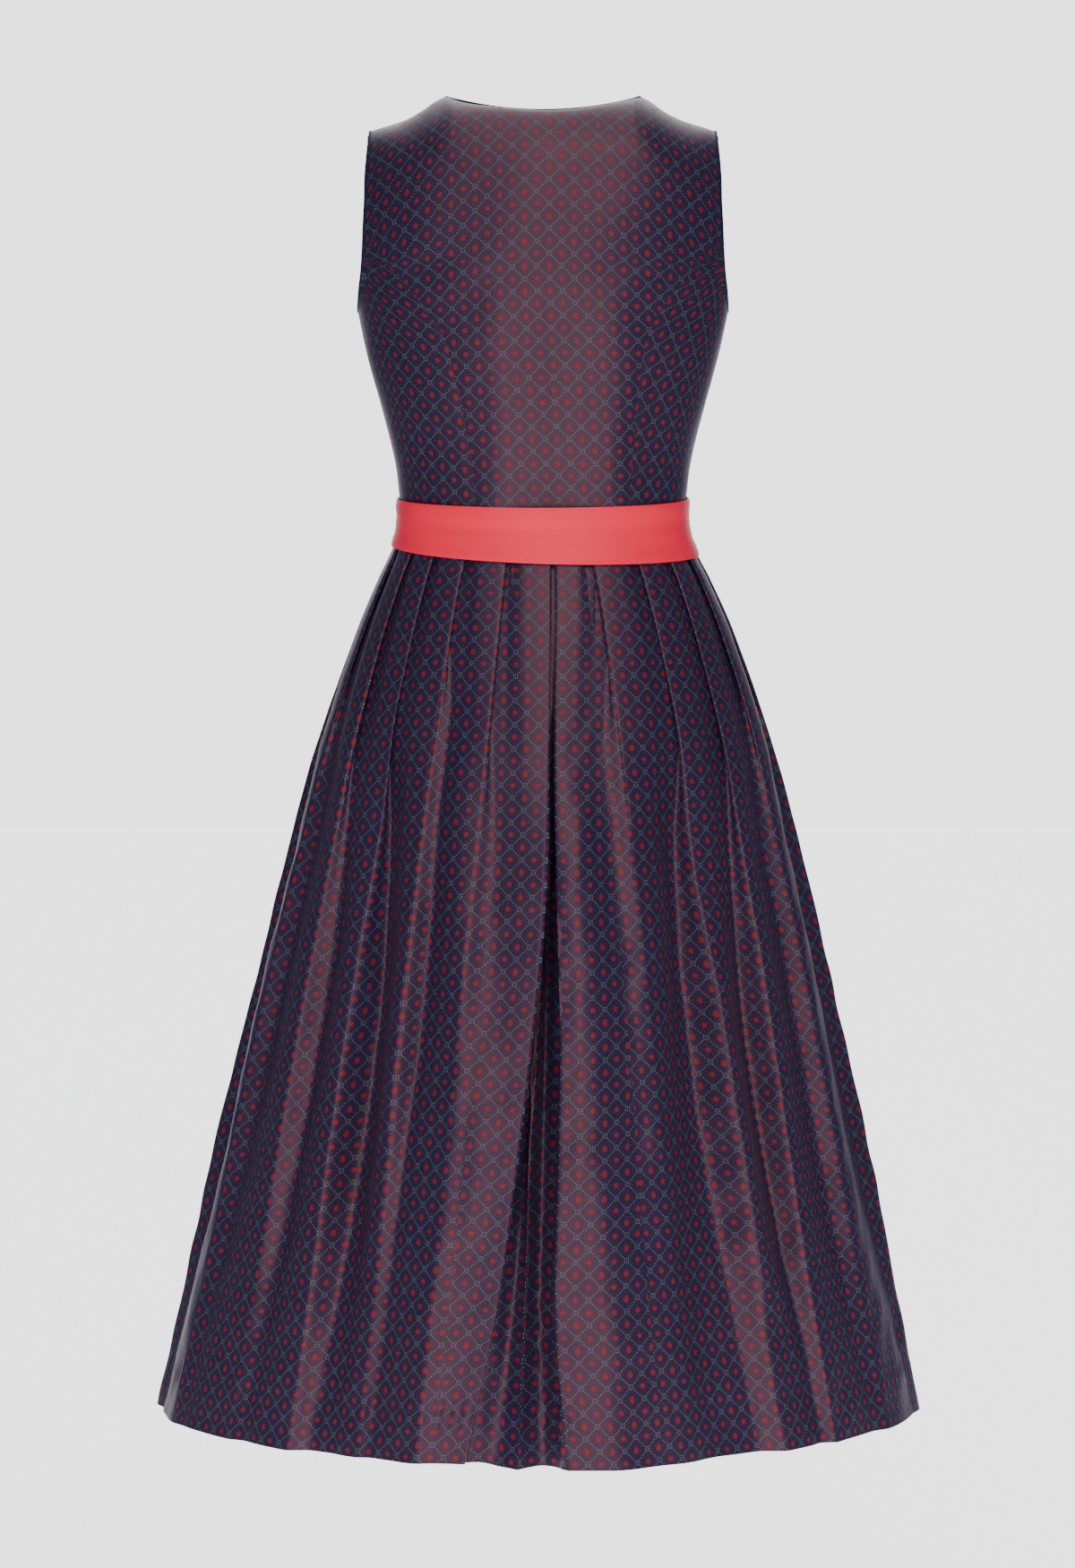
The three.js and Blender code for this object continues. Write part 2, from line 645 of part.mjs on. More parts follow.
// From the right front up over the back and down to the left front, which ends beside the right one's lap
function neckPath() {
  const left = columnOf(frontLeft, FRONT_COLUMNS).slice(neckFirstRow);
  left[0] = { point: left[0].point.clone().lerp(left[1].point, 0.55), normal: left[0].normal };
  const right = columnOf(frontRight, 0).slice(neckFirstRow);
  const top = backCentre[backCentre.length - 1];
  const back = top.filter((g) => Math.abs(g.point.x) < NECK_HALF_WIDTH - 1);
  return spaced([...right, ...back, ...left.reverse()]);
}

// Up the back, over the shoulder, down the front and under the arm
function armholePath(hand) {
  const name = hand > 0 ? 'left' : 'right';
  const back = columnOf(backCentre, hand > 0 ? BACK_COLUMNS : 0).slice(PRINCESS_ROWS - 1);
  const frontGrid = hand > 0 ? frontLeft : frontRight;
  const front = columnOf(frontGrid, hand > 0 ? 0 : FRONT_COLUMNS).slice(PRINCESS_ROWS - 1);
  const under = (grid) => {
    const top = grid[grid.length - 1].slice(1, -1);
    return hand > 0 ? top.reverse() : top;
  };
  const below = [...under(sides[`front_${name}`]), ...under(sides[`back_${name}`])];
  const loop = spaced([...back, ...front.reverse(), ...below]);
  return hand > 0 ? loop.reverse() : loop;
}

add('neck_piping', cord(besideEdge(neckPath(), false), PIPING_RADIUS, PIPING_SIDES, false), piping);
for (const [hand, name] of [[1, 'left'], [-1, 'right']]) {
  const path = besideEdge(armholePath(hand), true);
  add(`armhole_piping_${name}`, cord(path, PIPING_RADIUS, PIPING_SIDES, true), piping);
}

// The place on a panel at x and height z, between the points that the panel is made from
function onPanel(grid, x, z) {
  const between = (a, b, axis, value) => {
    const share = (value - a[axis]) / (b[axis] - a[axis]);
    return a.clone().lerp(b, share);
  };
  const across = grid.map((row) => {
    const i = row.findIndex((g, c) => c > 0 && (g.point.x - x) * (row[c - 1].point.x - x) <= 0);
    return between(row[i - 1].point, row[i].point, 'x', x);
  });
  const r = across.findIndex((p, i) => i > 0 && p.z >= z);
  const up = across[r].clone().sub(across[r - 1]).normalize();
  const normal = new THREE.Vector3(1, 0, 0).cross(up).normalize();
  return { point: between(across[r - 1], across[r], 'z', z), normal };
}

// Buttons down the centre front, on the lap of the right front
BUTTON_HEIGHTS.forEach((z, i) => {
  const spot = onPanel(frontRight.slice(0, neckFirstRow + 1), 0, z);
  const profile = [
    [0, 0],
    [BUTTON_RADIUS * 0.82, 0],
    [BUTTON_RADIUS, BUTTON_HEIGHT * 0.35],
    [BUTTON_RADIUS * 0.8, BUTTON_HEIGHT * 0.8],
    [BUTTON_RADIUS * 0.4, BUTTON_HEIGHT],
    [0, BUTTON_HEIGHT],
  ];
  const button = add(
    `button_${i + 1}`,
    new THREE.LatheGeometry(profile.map(([r, h]) => new THREE.Vector2(r, h)), 8),
    buttonMetal,
  );
  button.quaternion.setFromUnitVectors(new THREE.Vector3(0, 1, 0), spot.normal);
  button.position.copy(spot.point).addScaledVector(spot.normal, BODICE_WALL / 2 + SEAM_GAP);
});

// Skirt: each height has one line of cloth that runs round the body in zigzags, and opens as it falls

// The points of one pleat, from its ridge to the turn behind the next ridge. edge and next are the arcs of
// the two ridges, and each point is [arc, depth behind the outline].
function pleatPoints(edge, next, overlap, open, depth) {
  const q = LAYER_PITCH;
  const turn = q / 2;
  const inner = next + overlap;
  const pressed = [
    [edge, q / 2],
    [edge + turn, 0],
    [edge + Math.max(overlap + 3, (next - edge) * 0.66), q * 0.2],
    [next - 1.5, 2 * q],
    [inner - turn, 2 * q],
    [inner, 1.5 * q],
    [inner - turn, q],
    [next + turn, q],
  ];
  return OPEN_PLEAT.map(({ along, down }, i) => [
    mix(pressed[i][0], mix(edge, next, along), open),
    mix(pressed[i][1], down * depth, open),
  ]);
}

function foldDepth(pleat, z) {
  const lower = smooth((z - MIDDLE_Z) / (HEM_Z - MIDDLE_Z));
  const upper = smooth((z - WAIST_Z) / (MIDDLE_Z - WAIST_Z));
  return z > MIDDLE_Z ? mix(2 * LAYER_PITCH, pleat.middle, upper) : mix(pleat.middle, pleat.lower, lower);
}

// One half of the skirt's line, from the edge of the inverted pleat round to the centre front
function halfLine(pleats, firstEdge, outline, z) {
  const fall = (z - WAIST_Z) / (HEM_Z - WAIST_Z);
  const edges = pleats.map((p) => outline.arcOf(toRadians(mix(p.waist, p.hem, fall))));
  const line = [];
  pleats.forEach((pleat, i) => {
    const opening = (z - WAIST_Z) / (pleat.opensAt - WAIST_Z);
    const overlap = PLEAT_OVERLAP * (1 - 0.5 * smooth(opening));
    const edge = i === 0 ? firstEdge : edges[i - 1];
    line.push(...pleatPoints(edge, edges[i], overlap, smooth(opening), foldDepth(pleat, z)));
  });
  const last = edges[edges.length - 1];
  line.push([last, LAYER_PITCH / 2 * (1 - smooth(fall * 3))], [last + LAYER_PITCH / 2, 0]);
  for (const share of [0.35, 0.7]) line.push([mix(last, outline.half, share), 0]);
  return line;
}

// The underlay of the inverted pleat, from the right edge behind to the left edge
function underlay(z) {
  const get = (column) => read(INVERTED_PLEAT, column, z);
  const fall = (z - WAIST_Z) / (HEM_Z - WAIST_Z);
  const q = LAYER_PITCH;
  const reach = mix(INVERTED_DEPTH, INVERTED_DEPTH_HEM, fall);
  const [left, right, seam] = [get('left'), get('right'), get('seam')];
  const [underLeft, underSeam, underRight] = [get('underLeft'), get('underSeam'), get('underRight')];
  const openRight = smooth((fall - 0.72) / 0.28); // near the hem the right edge has opened into a soft fold
  const innerRight = mix(right - reach, right + 3, openRight);
  const backRight = mix(right - reach + q / 2, right + 8, openRight);
  const returnDepth = (under) => Math.max(q, under * 0.55);
  return {
    right: [
      [mix(right - q / 2, right - 3, openRight), mix(q, 2, openRight)],
      [backRight - mix(0, 4, openRight), mix(returnDepth(underRight), underRight * 0.5, openRight)],
      [innerRight, (returnDepth(underRight) + underRight) / 2],
      [backRight, underRight],
    ],
    seam: [
      [mix(right, seam, 0.55), mix(underRight, underSeam, 0.6)],
      [seam - 2, underSeam],
      [seam, underSeam],
      [seam + 2, underSeam],
    ],
    left: [
      [mix(seam, left + reach, 0.5), mix(underSeam, underLeft, 0.5)],
      [left + reach - q / 2, underLeft],
      [left + reach, (returnDepth(underLeft) + underLeft) / 2],
      [left + reach - q / 2, returnDepth(underLeft)],
      [left + q / 2, q],
    ],
  };
}

// The whole line at height z, from the centre back seam round by the wearer's left, with the places where
// the panels meet. The side seams lie under the pleats next to the sides.
const SEAM_PLEAT_LEFT = 5;
const SEAM_PLEAT_RIGHT = 4;
const SEAM_POINT = 3;
function skirtLine(z) {
  const outline = measured(sectionAt(SKIRT, z));
  const under = underlay(z);
  const left = halfLine(LEFT_PLEATS, read(INVERTED_PLEAT, 'left', z), outline, z);
  const right = halfLine(RIGHT_PLEATS, -read(INVERTED_PLEAT, 'right', z), outline, z);
  const round = 2 * outline.half;
  const mirrored = [...right].reverse().map(([arc, depth]) => [round - arc, depth]);
  const behind = [...under.right, ...under.seam.slice(0, 2)].map(([arc, depth]) => [round + arc, depth]);
  const start = [under.seam[2], under.seam[3], ...under.left];
  const line = [...start, ...left, [outline.half, 0], ...mirrored, ...behind];
  const leftSeam = start.length + SEAM_PLEAT_LEFT * OPEN_PLEAT.length + SEAM_POINT;
  const frontSeam = start.length + left.length;
  const rightSeam = line.length - behind.length - 1 - (SEAM_PLEAT_RIGHT * OPEN_PLEAT.length + SEAM_POINT);
  return { outline, line, leftSeam, frontSeam, rightSeam };
}

// Places a line's points at height z, with level directions across the cloth that share each corner
function placeLine(line, outline, z) {
  const fall = (z - WAIST_Z) / (HEM_Z - WAIST_Z);
  const points = line.map(([arc, depth]) => {
    const wrapped = arc > outline.half ? arc - 2 * outline.half : arc;
    const angle = outline.angleOf(wrapped);
    const [x, y] = sectionPoint(outline.section, angle);
    const [nx, ny] = sectionNormal(outline.section, angle);
    const besideEdge = smooth((wrapped - 30) / 25) * (1 - smooth((wrapped - 80) / 110));
    const lift = HEM_LIFT * Math.sin(angle) ** 2 + HEM_LIFT_LEFT * besideEdge;
    return new THREE.Vector3(x - nx * depth, y - ny * depth, z + lift * fall * fall);
  });
  const across = (a, b) => new THREE.Vector3(-(b.y - a.y), b.x - a.x, 0).normalize();
  const count = points.length;
  return points.map((point, i) => {
    const before = across(points[(i + count - 1) % count], point);
    const after = across(point, points[(i + 1) % count]);
    const normal = before.clone().add(after).normalize();
    const stretch = Math.min(1.5, 1 / Math.max(0.3, normal.dot(before)));
    return { point, normal: normal.multiplyScalar(stretch) };
  });
}

// One panel's part of the line, half a seam gap short of its neighbours
function panelOf(placed, from, to) {
  const part = placed.slice(from, to + 1).concat(to < placed.length ? [] : [placed[0]]);
  const shorten = (end, next) => {
    const step = next.point.clone().sub(end.point).setLength(SEAM_GAP / 2);
    return { point: end.point.clone().add(step), normal: end.normal };
  };
  const last = part.length - 1;
  return [shorten(part[0], part[1]), ...part.slice(1, last), shorten(part[last], part[last - 1])];
}

const skirtGrids = { backLeft: [], frontLeft: [], frontRight: [], backRight: [] };
for (const drop of [...SKIRT_ROWS].reverse()) {
  const z = WAIST_Z - drop - (drop === 0 ? SEAM_GAP / 2 : 0);
  const { line, outline, leftSeam, frontSeam, rightSeam } = skirtLine(z);
  const placed = placeLine(line, outline, z);
  skirtGrids.backLeft.push(panelOf(placed, 0, leftSeam));
  skirtGrids.frontLeft.push(panelOf(placed, leftSeam, frontSeam));
  skirtGrids.frontRight.push(panelOf(placed, frontSeam, rightSeam));
  skirtGrids.backRight.push(panelOf(placed, rightSeam, placed.length));
}
add('skirt_back_left', wallAbout(skirtGrids.backLeft, SKIRT_WALL), jacquard);
add('skirt_back_right', wallAbout(skirtGrids.backRight, SKIRT_WALL), jacquard);
add('skirt_front_left', wallAbout(skirtGrids.frontLeft, SKIRT_WALL), jacquard);
add('skirt_front_right', wallAbout(skirtGrids.frontRight, SKIRT_WALL), jacquard);

// Sash: a ring of satin over the waist seam

const SASH_OVER_BODICE = BODICE_WALL / 2 + 0.7 + SASH_WALL / 2;
const SASH_OVER_SKIRT = SKIRT_WALL / 2 + 1.2 + SASH_WALL / 2;
function sashSection(z) {
  const bodice = sectionAt(TORSO, z);
  const skirt = sectionAt(SKIRT, z);
  const section = { pinch: skirt.pinch, sway: skirt.sway };
  for (const column of ['half', 'back', 'front']) {
    const lap = column === 'front' ? LAP_LIFT : 0;
    section[column] = Math.max(bodice[column] + lap + SASH_OVER_BODICE, skirt[column] + SASH_OVER_SKIRT);
  }
  return section;
}
function sashHeight(angle, share) {
  const behind = ((1 + Math.cos(angle)) / 2) ** 2;
  const top = SASH_TOP_Z - SASH_BACK_DIP_TOP * behind;
  const bottom = SASH_BOTTOM_Z - SASH_BACK_DIP_BOTTOM * behind + SASH_TILT * Math.sin(angle);
  return mix(bottom, top, share);
}
function sashPlace(angle, z, out = 0) {
  const section = sashSection(z);
  const [x, y] = sectionPoint(section, angle);
  const [nx, ny] = sectionNormal(section, angle);
  return { point: new THREE.Vector3(x + nx * out, y + ny * out, z), normal: new THREE.Vector3(nx, ny, 0) };
}
const sashGrid = [0, 0.28, 0.6, 1].map((share) =>
  Array.from({ length: SASH_STEPS }, (_, i) => {
    const angle = ((i + 0.5) / SASH_STEPS) * 2 * Math.PI - Math.PI;
    return sashPlace(angle, sashHeight(angle, share));
  }),
);
add('sash', facingOut(wallAbout(sashGrid, SASH_WALL, true)), satin);

// Apron: a gathered panel that hangs from the sash's lower edge, clear of the skirt's ridges

const apronWave = (t) => (1 + Math.cos(2 * Math.PI * APRON_WAVES * t)) / 2;
const apronOut = (t, fall) =>
  SKIRT_WALL / 2 + APRON_WALL / 2 + mix(1.4, 3, smooth(fall * 6)) +
  mix(0.3, APRON_WAVE_DEPTH, fall ** 0.8) * apronWave(t);
function apronPoint(t, fall) {
  const spread = toRadians(mix(APRON_HALF_ANGLE_WAIST, APRON_HALF_ANGLE_HEM, fall));
  const angle = Math.PI + (t - 0.5) * 2 * spread;
  const top = sashHeight(angle, 0) - SEAM_GAP;
  const z = mix(top, APRON_HEM_Z, fall);
  const section = sectionAt(SKIRT, z);
  const [x, y] = sectionPoint(section, angle);
  const [nx, ny] = sectionNormal(section, angle);
  const out = apronOut(t, fall);
  return new THREE.Vector3(x + nx * out, y + ny * out, z);
}
const apronGrid = APRON_ROWS.map((fall) =>
  Array.from({ length: APRON_STEPS + 1 }, (_, c) => {
    const t = c / APRON_STEPS;
    const point = apronPoint(t, fall);
    const [a, b] = [apronPoint(t - 0.002, fall), apronPoint(t + 0.002, fall)];
    return { point, normal: new THREE.Vector3(-(b.y - a.y), b.x - a.x, 0).normalize() };
  }),
);
add('apron', facingOut(wallAbout(apronGrid, APRON_WALL)), satin);

// Bow on the wearer's left front: a knot, two loops and two tails

const knotAngle = toRadians(KNOT_ANGLE);
const knotSeat = sashPlace(knotAngle, (SASH_TOP_Z + SASH_BOTTOM_Z) / 2, SASH_WALL / 2 + SEAM_GAP);
const outward = knotSeat.normal;
const sideways = new THREE.Vector3(-outward.y, outward.x, 0);
const bowPlace = (across, out, up) =>
  knotSeat.point
    .clone()
    .addScaledVector(sideways, across)
    .addScaledVector(outward, out)
    .add(new THREE.Vector3(0, 0, up));

const knot = add('bow_knot', new THREE.SphereGeometry(1, 14, 10), satin);
knot.scale.set(KNOT_SIZE.across, KNOT_SIZE.out, KNOT_SIZE.up);
knot.rotation.z = Math.atan2(outward.y, outward.x) + Math.PI / 2;
knot.position.copy(bowPlace(0, KNOT_SIZE.out + 0.4, 0));

// A loop is a band that runs out from the knot and back, drawn in at the knot
function loopGrid(hand) {
  const rootX = KNOT_SIZE.across + SEAM_GAP;
  return [-1, 0, 1].map((edge) =>
    Array.from({ length: LOOP_STEPS }, (_, i) => {
      const turn = ((i + 0.5) / LOOP_STEPS) * 2 * Math.PI;
      const place = (a) => {
        const reach = (1 - Math.cos(a)) / 2;
        const across = rootX + (LOOP_LENGTH - rootX) * reach;
        const swell = 9 * Math.sin(a) * (0.35 + 0.65 * reach);
        const width = 8 + 13 * Math.min(1, reach * 1.6);
        const out = 11 + reach * 9 + swell;
        return bowPlace(hand * across, out, edge * width - reach * 14);
      };
      const [a, b] = [place(turn - 0.01), place(turn + 0.01)];
      const normal = new THREE.Vector3(-(b.y - a.y), b.x - a.x, 0).normalize();
      return { point: place(turn), normal };
    }),
  );
}
add('bow_loop_side', facingOut(wallAbout(loopGrid(-1), APRON_WALL, true)), satin);
add('bow_loop_front', facingOut(wallAbout(loopGrid(1), APRON_WALL, true)), satin);

// A tail hangs from under the knot over the apron
function tailGrid(hand) {
  const top = knotSeat.point.z - KNOT_SIZE.up + SEAM_GAP;
  return Array.from({ length: 9 }, (_, r) => {
    const fall = 1 - r / 8;
    return Array.from({ length: 6 }, (_, c) => {
      const across = (share) => {
        const z = top - TAIL_LENGTH * fall;
        const width = mix(12, TAIL_WIDTH, smooth(fall * 3));
        const arc = 1 + 16 * fall + width * share;
        const section = sectionAt(SKIRT, z);
        const angle = knotAngle + (hand * arc) / section.half;
        const apronFall = Math.max(0, (z - SASH_BOTTOM_Z) / (APRON_HEM_Z - SASH_BOTTOM_Z));
        const fold = 1.5 * Math.sin(share * 2 * Math.PI + hand) * smooth(fall * 3);
        const over = Math.max(7, 6 + APRON_WAVE_DEPTH * apronFall ** 0.8);
        const out = over + mix(5, 2, smooth(fall * 6)) + fold;
        const [x, y] = sectionPoint(section, angle);
        const [nx, ny] = sectionNormal(section, angle);
        return new THREE.Vector3(x + nx * out, y + ny * out, z);
      };
      const share = c / 5;
      const [a, b] = [across(share - 0.01), across(share + 0.01)];
      return { point: across(share), normal: new THREE.Vector3(-(b.y - a.y), b.x - a.x, 0).normalize() };
    });
  });
}
add('bow_tail_side', facingOut(wallAbout(tailGrid(-1), APRON_WALL)), satin);
add('bow_tail_front', facingOut(wallAbout(tailGrid(1), APRON_WALL)), satin);

export default dirndl;
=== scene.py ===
# %% [markdown]
# # A dirndl, finished in cloth
# The dress is a fitted sleeveless bodice, a pleated skirt, a satin sash and an apron, filled out as if
# worn. The solids of the frame have the right places and sizes but only a few faces. Here each panel gets
# its cloth: a thin smooth shell on the same form, with its own threads, seams, folds and sheen.

# %% Load the frame
import functools
import math

import bpy
import numpy as np
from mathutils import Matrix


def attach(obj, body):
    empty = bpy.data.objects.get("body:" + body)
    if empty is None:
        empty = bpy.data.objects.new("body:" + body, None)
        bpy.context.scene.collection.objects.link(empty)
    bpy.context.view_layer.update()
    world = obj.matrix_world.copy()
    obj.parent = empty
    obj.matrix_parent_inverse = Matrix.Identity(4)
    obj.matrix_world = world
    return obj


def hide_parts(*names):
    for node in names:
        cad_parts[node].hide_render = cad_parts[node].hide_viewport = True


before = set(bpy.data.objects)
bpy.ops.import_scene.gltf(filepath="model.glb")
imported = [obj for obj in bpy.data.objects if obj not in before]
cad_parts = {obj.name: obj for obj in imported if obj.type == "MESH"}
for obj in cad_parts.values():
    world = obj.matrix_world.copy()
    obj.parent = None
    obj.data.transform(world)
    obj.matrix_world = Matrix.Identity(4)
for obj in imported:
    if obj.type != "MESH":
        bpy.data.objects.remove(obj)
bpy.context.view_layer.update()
print("solids:", len(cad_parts))

# %% [markdown]
# ## Reading the pattern's tables
# A pattern cutter notes a few measurements and draws smooth curves through them. The same is done here:
# a table has a row for each height, and every point between the rows lies on a smooth curve. Lengths are
# in millimetres until a mesh is made.

# %% Tables and curves
MM = 0.001


def table(columns, *rows):
    return [dict(zip(columns.split(), row)) for row in rows]


def smooth(t):
    t = np.clip(t, 0, 1)
    return t * t * (3 - 2 * t)


def mix(a, b, t):
    return a + (b - a) * t


def bump(distance, width):
    return np.exp(-((distance / width) ** 2))


def read(rows, column, at, key="z"):
    rows = sorted(rows, key=lambda row: row[key])
    xs = np.array([row[key] for row in rows], float)
    ys = np.array([row[column] for row in rows], float)
    here = np.arange(len(xs))
    before, after = np.maximum(here - 1, 0), np.minimum(here + 1, len(xs) - 1)
    slopes = (ys[after] - ys[before]) / (xs[after] - xs[before])
    at = np.clip(np.asarray(at, float), xs[0], xs[-1])
    i = np.clip(np.searchsorted(xs, at, "right") - 1, 0, len(xs) - 2)
    span = xs[i + 1] - xs[i]
    t = (at - xs[i]) / span
    return (
        ys[i] * (2 * t**3 - 3 * t**2 + 1)
        + slopes[i] * span * (t**3 - 2 * t**2 + t)
        + ys[i + 1] * (3 * t**2 - 2 * t**3)
        + slopes[i + 1] * span * (t**3 - t**2)
    )


# %% Horizontal sections of the torso and of the skirt's ridges
TORSO = table(
    "z half back front pinch",
    (0, 150, 80, 64, -0.04),
    (-45, 155, 90, 74, -0.04),
    (-100, 161, 102, 92, -0.04),
    (-150, 156, 105, 110, -0.04),
    (-175, 151, 104, 118, -0.04),
    (-208, 144, 102, 124, -0.04),
    (-252, 132, 98, 122, -0.04),
    (-297, 121, 93, 108, -0.04),
    (-325, 117.5, 90.3, 101, -0.04),
    (-350, 115.5, 88.5, 97, -0.04),
)
SKIRT = table(
    "z half back front pinch sway",
    (-350, 118, 91, 99, -0.04, 0),
    (-369, 124, 97, 104, -0.03, -0.4),
    (-393, 136, 108, 113, -0.02, -0.9),
    (-437, 155.4, 127, 128, 0, -1.4),
    (-526, 187.2, 156, 152, 0.02, -1.4),
    (-615, 211.3, 180, 174, 0.035, -0.8),
    (-704, 234, 200, 194, 0.045, 0),
    (-837, 264.5, 225, 219, 0.055, 1.6),
    (-970, 293.3, 247, 240, 0.06, 2.9),
    (-1086, 318.5, 262.5, 255.5, 0.055, 4),
)


def section_at(rows, z):
    return {"sway": 0} | {column: read(rows, column, z) for column in rows[0] if column != "z"}


def section_point(section, angle):
    depth = np.where(np.cos(angle) > 0, section["back"], section["front"])
    scale = 1 - section["pinch"] * np.sin(2 * angle) ** 2
    return section["sway"] + section["half"] * np.sin(angle) * scale, depth * np.cos(angle) * scale


def section_normal(section, angle):
    ax, ay = section_point(section, angle - 0.002)
    bx, by = section_point(section, angle + 0.002)
    length = np.hypot(bx - ax, by - ay)
    return -(by - ay) / length, (bx - ax) / length


# %% [markdown]
# ## Turning a grid of points into cloth
# Real cloth has two faces and an edge. One function makes that from any grid: it finds the direction out of
# the cloth, lays a second grid inside the first and closes the rim. The UV map holds the cloth's own metres
# along weft and warp, so a woven pattern keeps its true size wherever the cloth is bent.

# %% Which way is out of the cloth
def outward(grid, closed=False, about=(0, 0)):
    if closed:
        across = np.roll(grid, -1, 1) - np.roll(grid, 1, 1)
    else:
        across = np.gradient(grid, axis=1)
    normal = np.cross(across, np.gradient(grid, axis=0))
    normal /= np.maximum(np.linalg.norm(normal, axis=2, keepdims=True), 1e-9)
    away = np.sum(normal[..., :2] * (grid[..., :2] - np.array(about)))
    return normal if away > 0 else -normal


# %% Cloth from a grid
CREASE_ANGLE = math.radians(55)  # cut edges and pressed folds turn more sharply than this


def new_object(name, data):
    made = bpy.data.objects.new(name, data)
    bpy.context.scene.collection.objects.link(made)
    return made


def cloth(name, grid, near, far, thickness, closed=False, about=(0, 0)):
    """grid has a point for each row and column. near and far are the cloth's own coordinates at the start
    and end of each column of quads, so the weave can break where a fold hides it."""
    rows, columns = grid.shape[:2]
    span = columns if closed else columns - 1
    normal = outward(grid, closed, about)
    points = np.concatenate([grid.reshape(-1, 3), (grid - normal * thickness).reshape(-1, 3)]) * MM
    r, c = (index.ravel() for index in np.meshgrid(np.arange(rows - 1), np.arange(span), indexing="ij"))
    ends = np.arange(span)
    top, low = np.full(span, rows - 1), np.zeros(span, int)
    corners = [
        [(0, r, c, 0), (0, r, c, 1), (0, r + 1, c, 1), (0, r + 1, c, 0)],
        [(1, r, c, 0), (1, r + 1, c, 0), (1, r + 1, c, 1), (1, r, c, 1)],
        [(1, low, ends, 0), (1, low, ends, 1), (0, low, ends, 1), (0, low, ends, 0)],
        [(0, top, ends, 0), (0, top, ends, 1), (1, top, ends, 1), (1, top, ends, 0)],
    ]
    if not closed:
        here, next_up = np.arange(rows - 1), np.arange(1, rows)
        first, last = np.zeros(rows - 1, int), np.full(rows - 1, span - 1)
        corners += [
            [(1, here, first, 0), (0, here, first, 0), (0, next_up, first, 0), (1, next_up, first, 0)],
            [(0, here, last, 1), (1, here, last, 1), (1, next_up, last, 1), (0, next_up, last, 1)],
        ]
    quads, places = [], []
    for quad in corners:
        quads.append(
            np.stack([s * rows * columns + a * columns + (b + e) % columns for s, a, b, e in quad], 1)
        )
        places.append(np.stack([(far if e else near)[a, b] for s, a, b, e in quad], 1))
    quads, places = np.concatenate(quads), np.concatenate(places)
    across = np.roll(grid, -1, 1) - grid if closed else np.gradient(grid, axis=1)
    if np.sum(np.cross(across, np.gradient(grid, axis=0)) * normal) < 0:
        quads, places = quads[:, ::-1], places[:, ::-1]
    mesh = bpy.data.meshes.new(name)
    mesh.vertices.add(len(points))
    mesh.vertices.foreach_set("co", points.ravel())
    mesh.loops.add(quads.size)
    mesh.loops.foreach_set("vertex_index", quads.ravel().astype(np.int32))
    mesh.polygons.add(len(quads))
    mesh.polygons.foreach_set("loop_start", np.arange(0, quads.size, 4, dtype=np.int32))
    mesh.polygons.foreach_set("use_smooth", np.ones(len(quads), bool))
    layer = mesh.uv_layers.new(name="cloth")
    layer.data.foreach_set("uv", (places.reshape(-1, 2) * MM).ravel())
    mesh.update(calc_edges=True)
    mesh.validate()
    mesh.set_sharp_from_angle(angle=CREASE_ANGLE)
    return new_object(name, mesh)


def plain_uv(u, v):
    """Unbroken cloth coordinates: each column's far end is where the next one starts."""
    both = np.stack(np.broadcast_arrays(u, v), 2)
    return both[:, :-1], both[:, 1:]


def ripples(u, v, seed, wavelength, count=7):
    """A soft uneven waviness of about +-1, from a few long waves in random directions."""
    random = np.random.default_rng(seed)
    total = np.zeros(np.broadcast(u, v).shape)
    for _ in range(count):
        turn, phase = random.uniform(0, np.pi), random.uniform(0, 2 * np.pi)
        k = 2 * np.pi / (wavelength * random.uniform(0.7, 1.6))
        total += np.sin(k * (u * np.cos(turn) + v * np.sin(turn)) + phase)
    return total / math.sqrt(count)


# %% [markdown]
# ## Materials
# There are three cloths: a shot satin jacquard, a plain navy bias binding, which covers the buttons too, and
# a coral satin. Colours are noted as they look on a screen, and one function turns them to the linear light
# that the renderer counts in. One function adds any node with its settings and links.

# %% Colour and node helpers
def colour(code):
    parts = [int(code[i : i + 2], 16) / 255 for i in (1, 3, 5)]
    return [p / 12.92 if p <= 0.04045 else ((p + 0.055) / 1.055) ** 2.4 for p in parts] + [1.0]


def new_material(name):
    material = bpy.data.materials.new(name)
    material.use_nodes = True
    material.node_tree.nodes.clear()
    return material, material.node_tree


def add(tree, kind, *inputs, named=None, out=0, **settings):
    """Adds one node. kind may name its operation too, as in "Math ADD". inputs are values or other nodes'
    sockets, in order, and None leaves one as it is. named gives sockets by name. out=None gives the node."""
    kind, _, operation = kind.partition(" ")
    node = tree.nodes.new("ShaderNode" + kind)
    if operation:
        node.operation = operation
    for key, value in settings.items():
        setattr(node, key, value)
    wanted = list(zip(node.inputs, inputs))
    wanted += [(node.inputs[key], value) for key, value in (named or {}).items()]
    for socket, value in wanted:
        if isinstance(value, bpy.types.NodeSocket):
            tree.links.new(value, socket)
        elif value is not None:
            socket.default_value = value
    return node if out is None else node.outputs[out]


# %% [markdown]
# ### The figures of the jacquard
# On the cloth lies an old small all-over: a diamond lattice of tiny mint stitches with florets at its
# crossings, and red drops and blossoms in its diamonds. A picture could carry it, but worked out from the
# cloth's own coordinates it needs none and stays sharp at any distance. The cloth is divided into cells of
# 10 mm. Where row and column have an even sum the cell has a red figure, and the others have a floret.

# %% Shapes in a cell
LATTICE = 10.0  # mm from figure to figure


def inside(put, amount, edge=0.05):
    """1 where amount is above 0, with a soft edge. put adds a node to the material's tree."""
    return put("Math ADD", put("Math DIVIDE", amount, edge), 0.5, use_clamp=True)


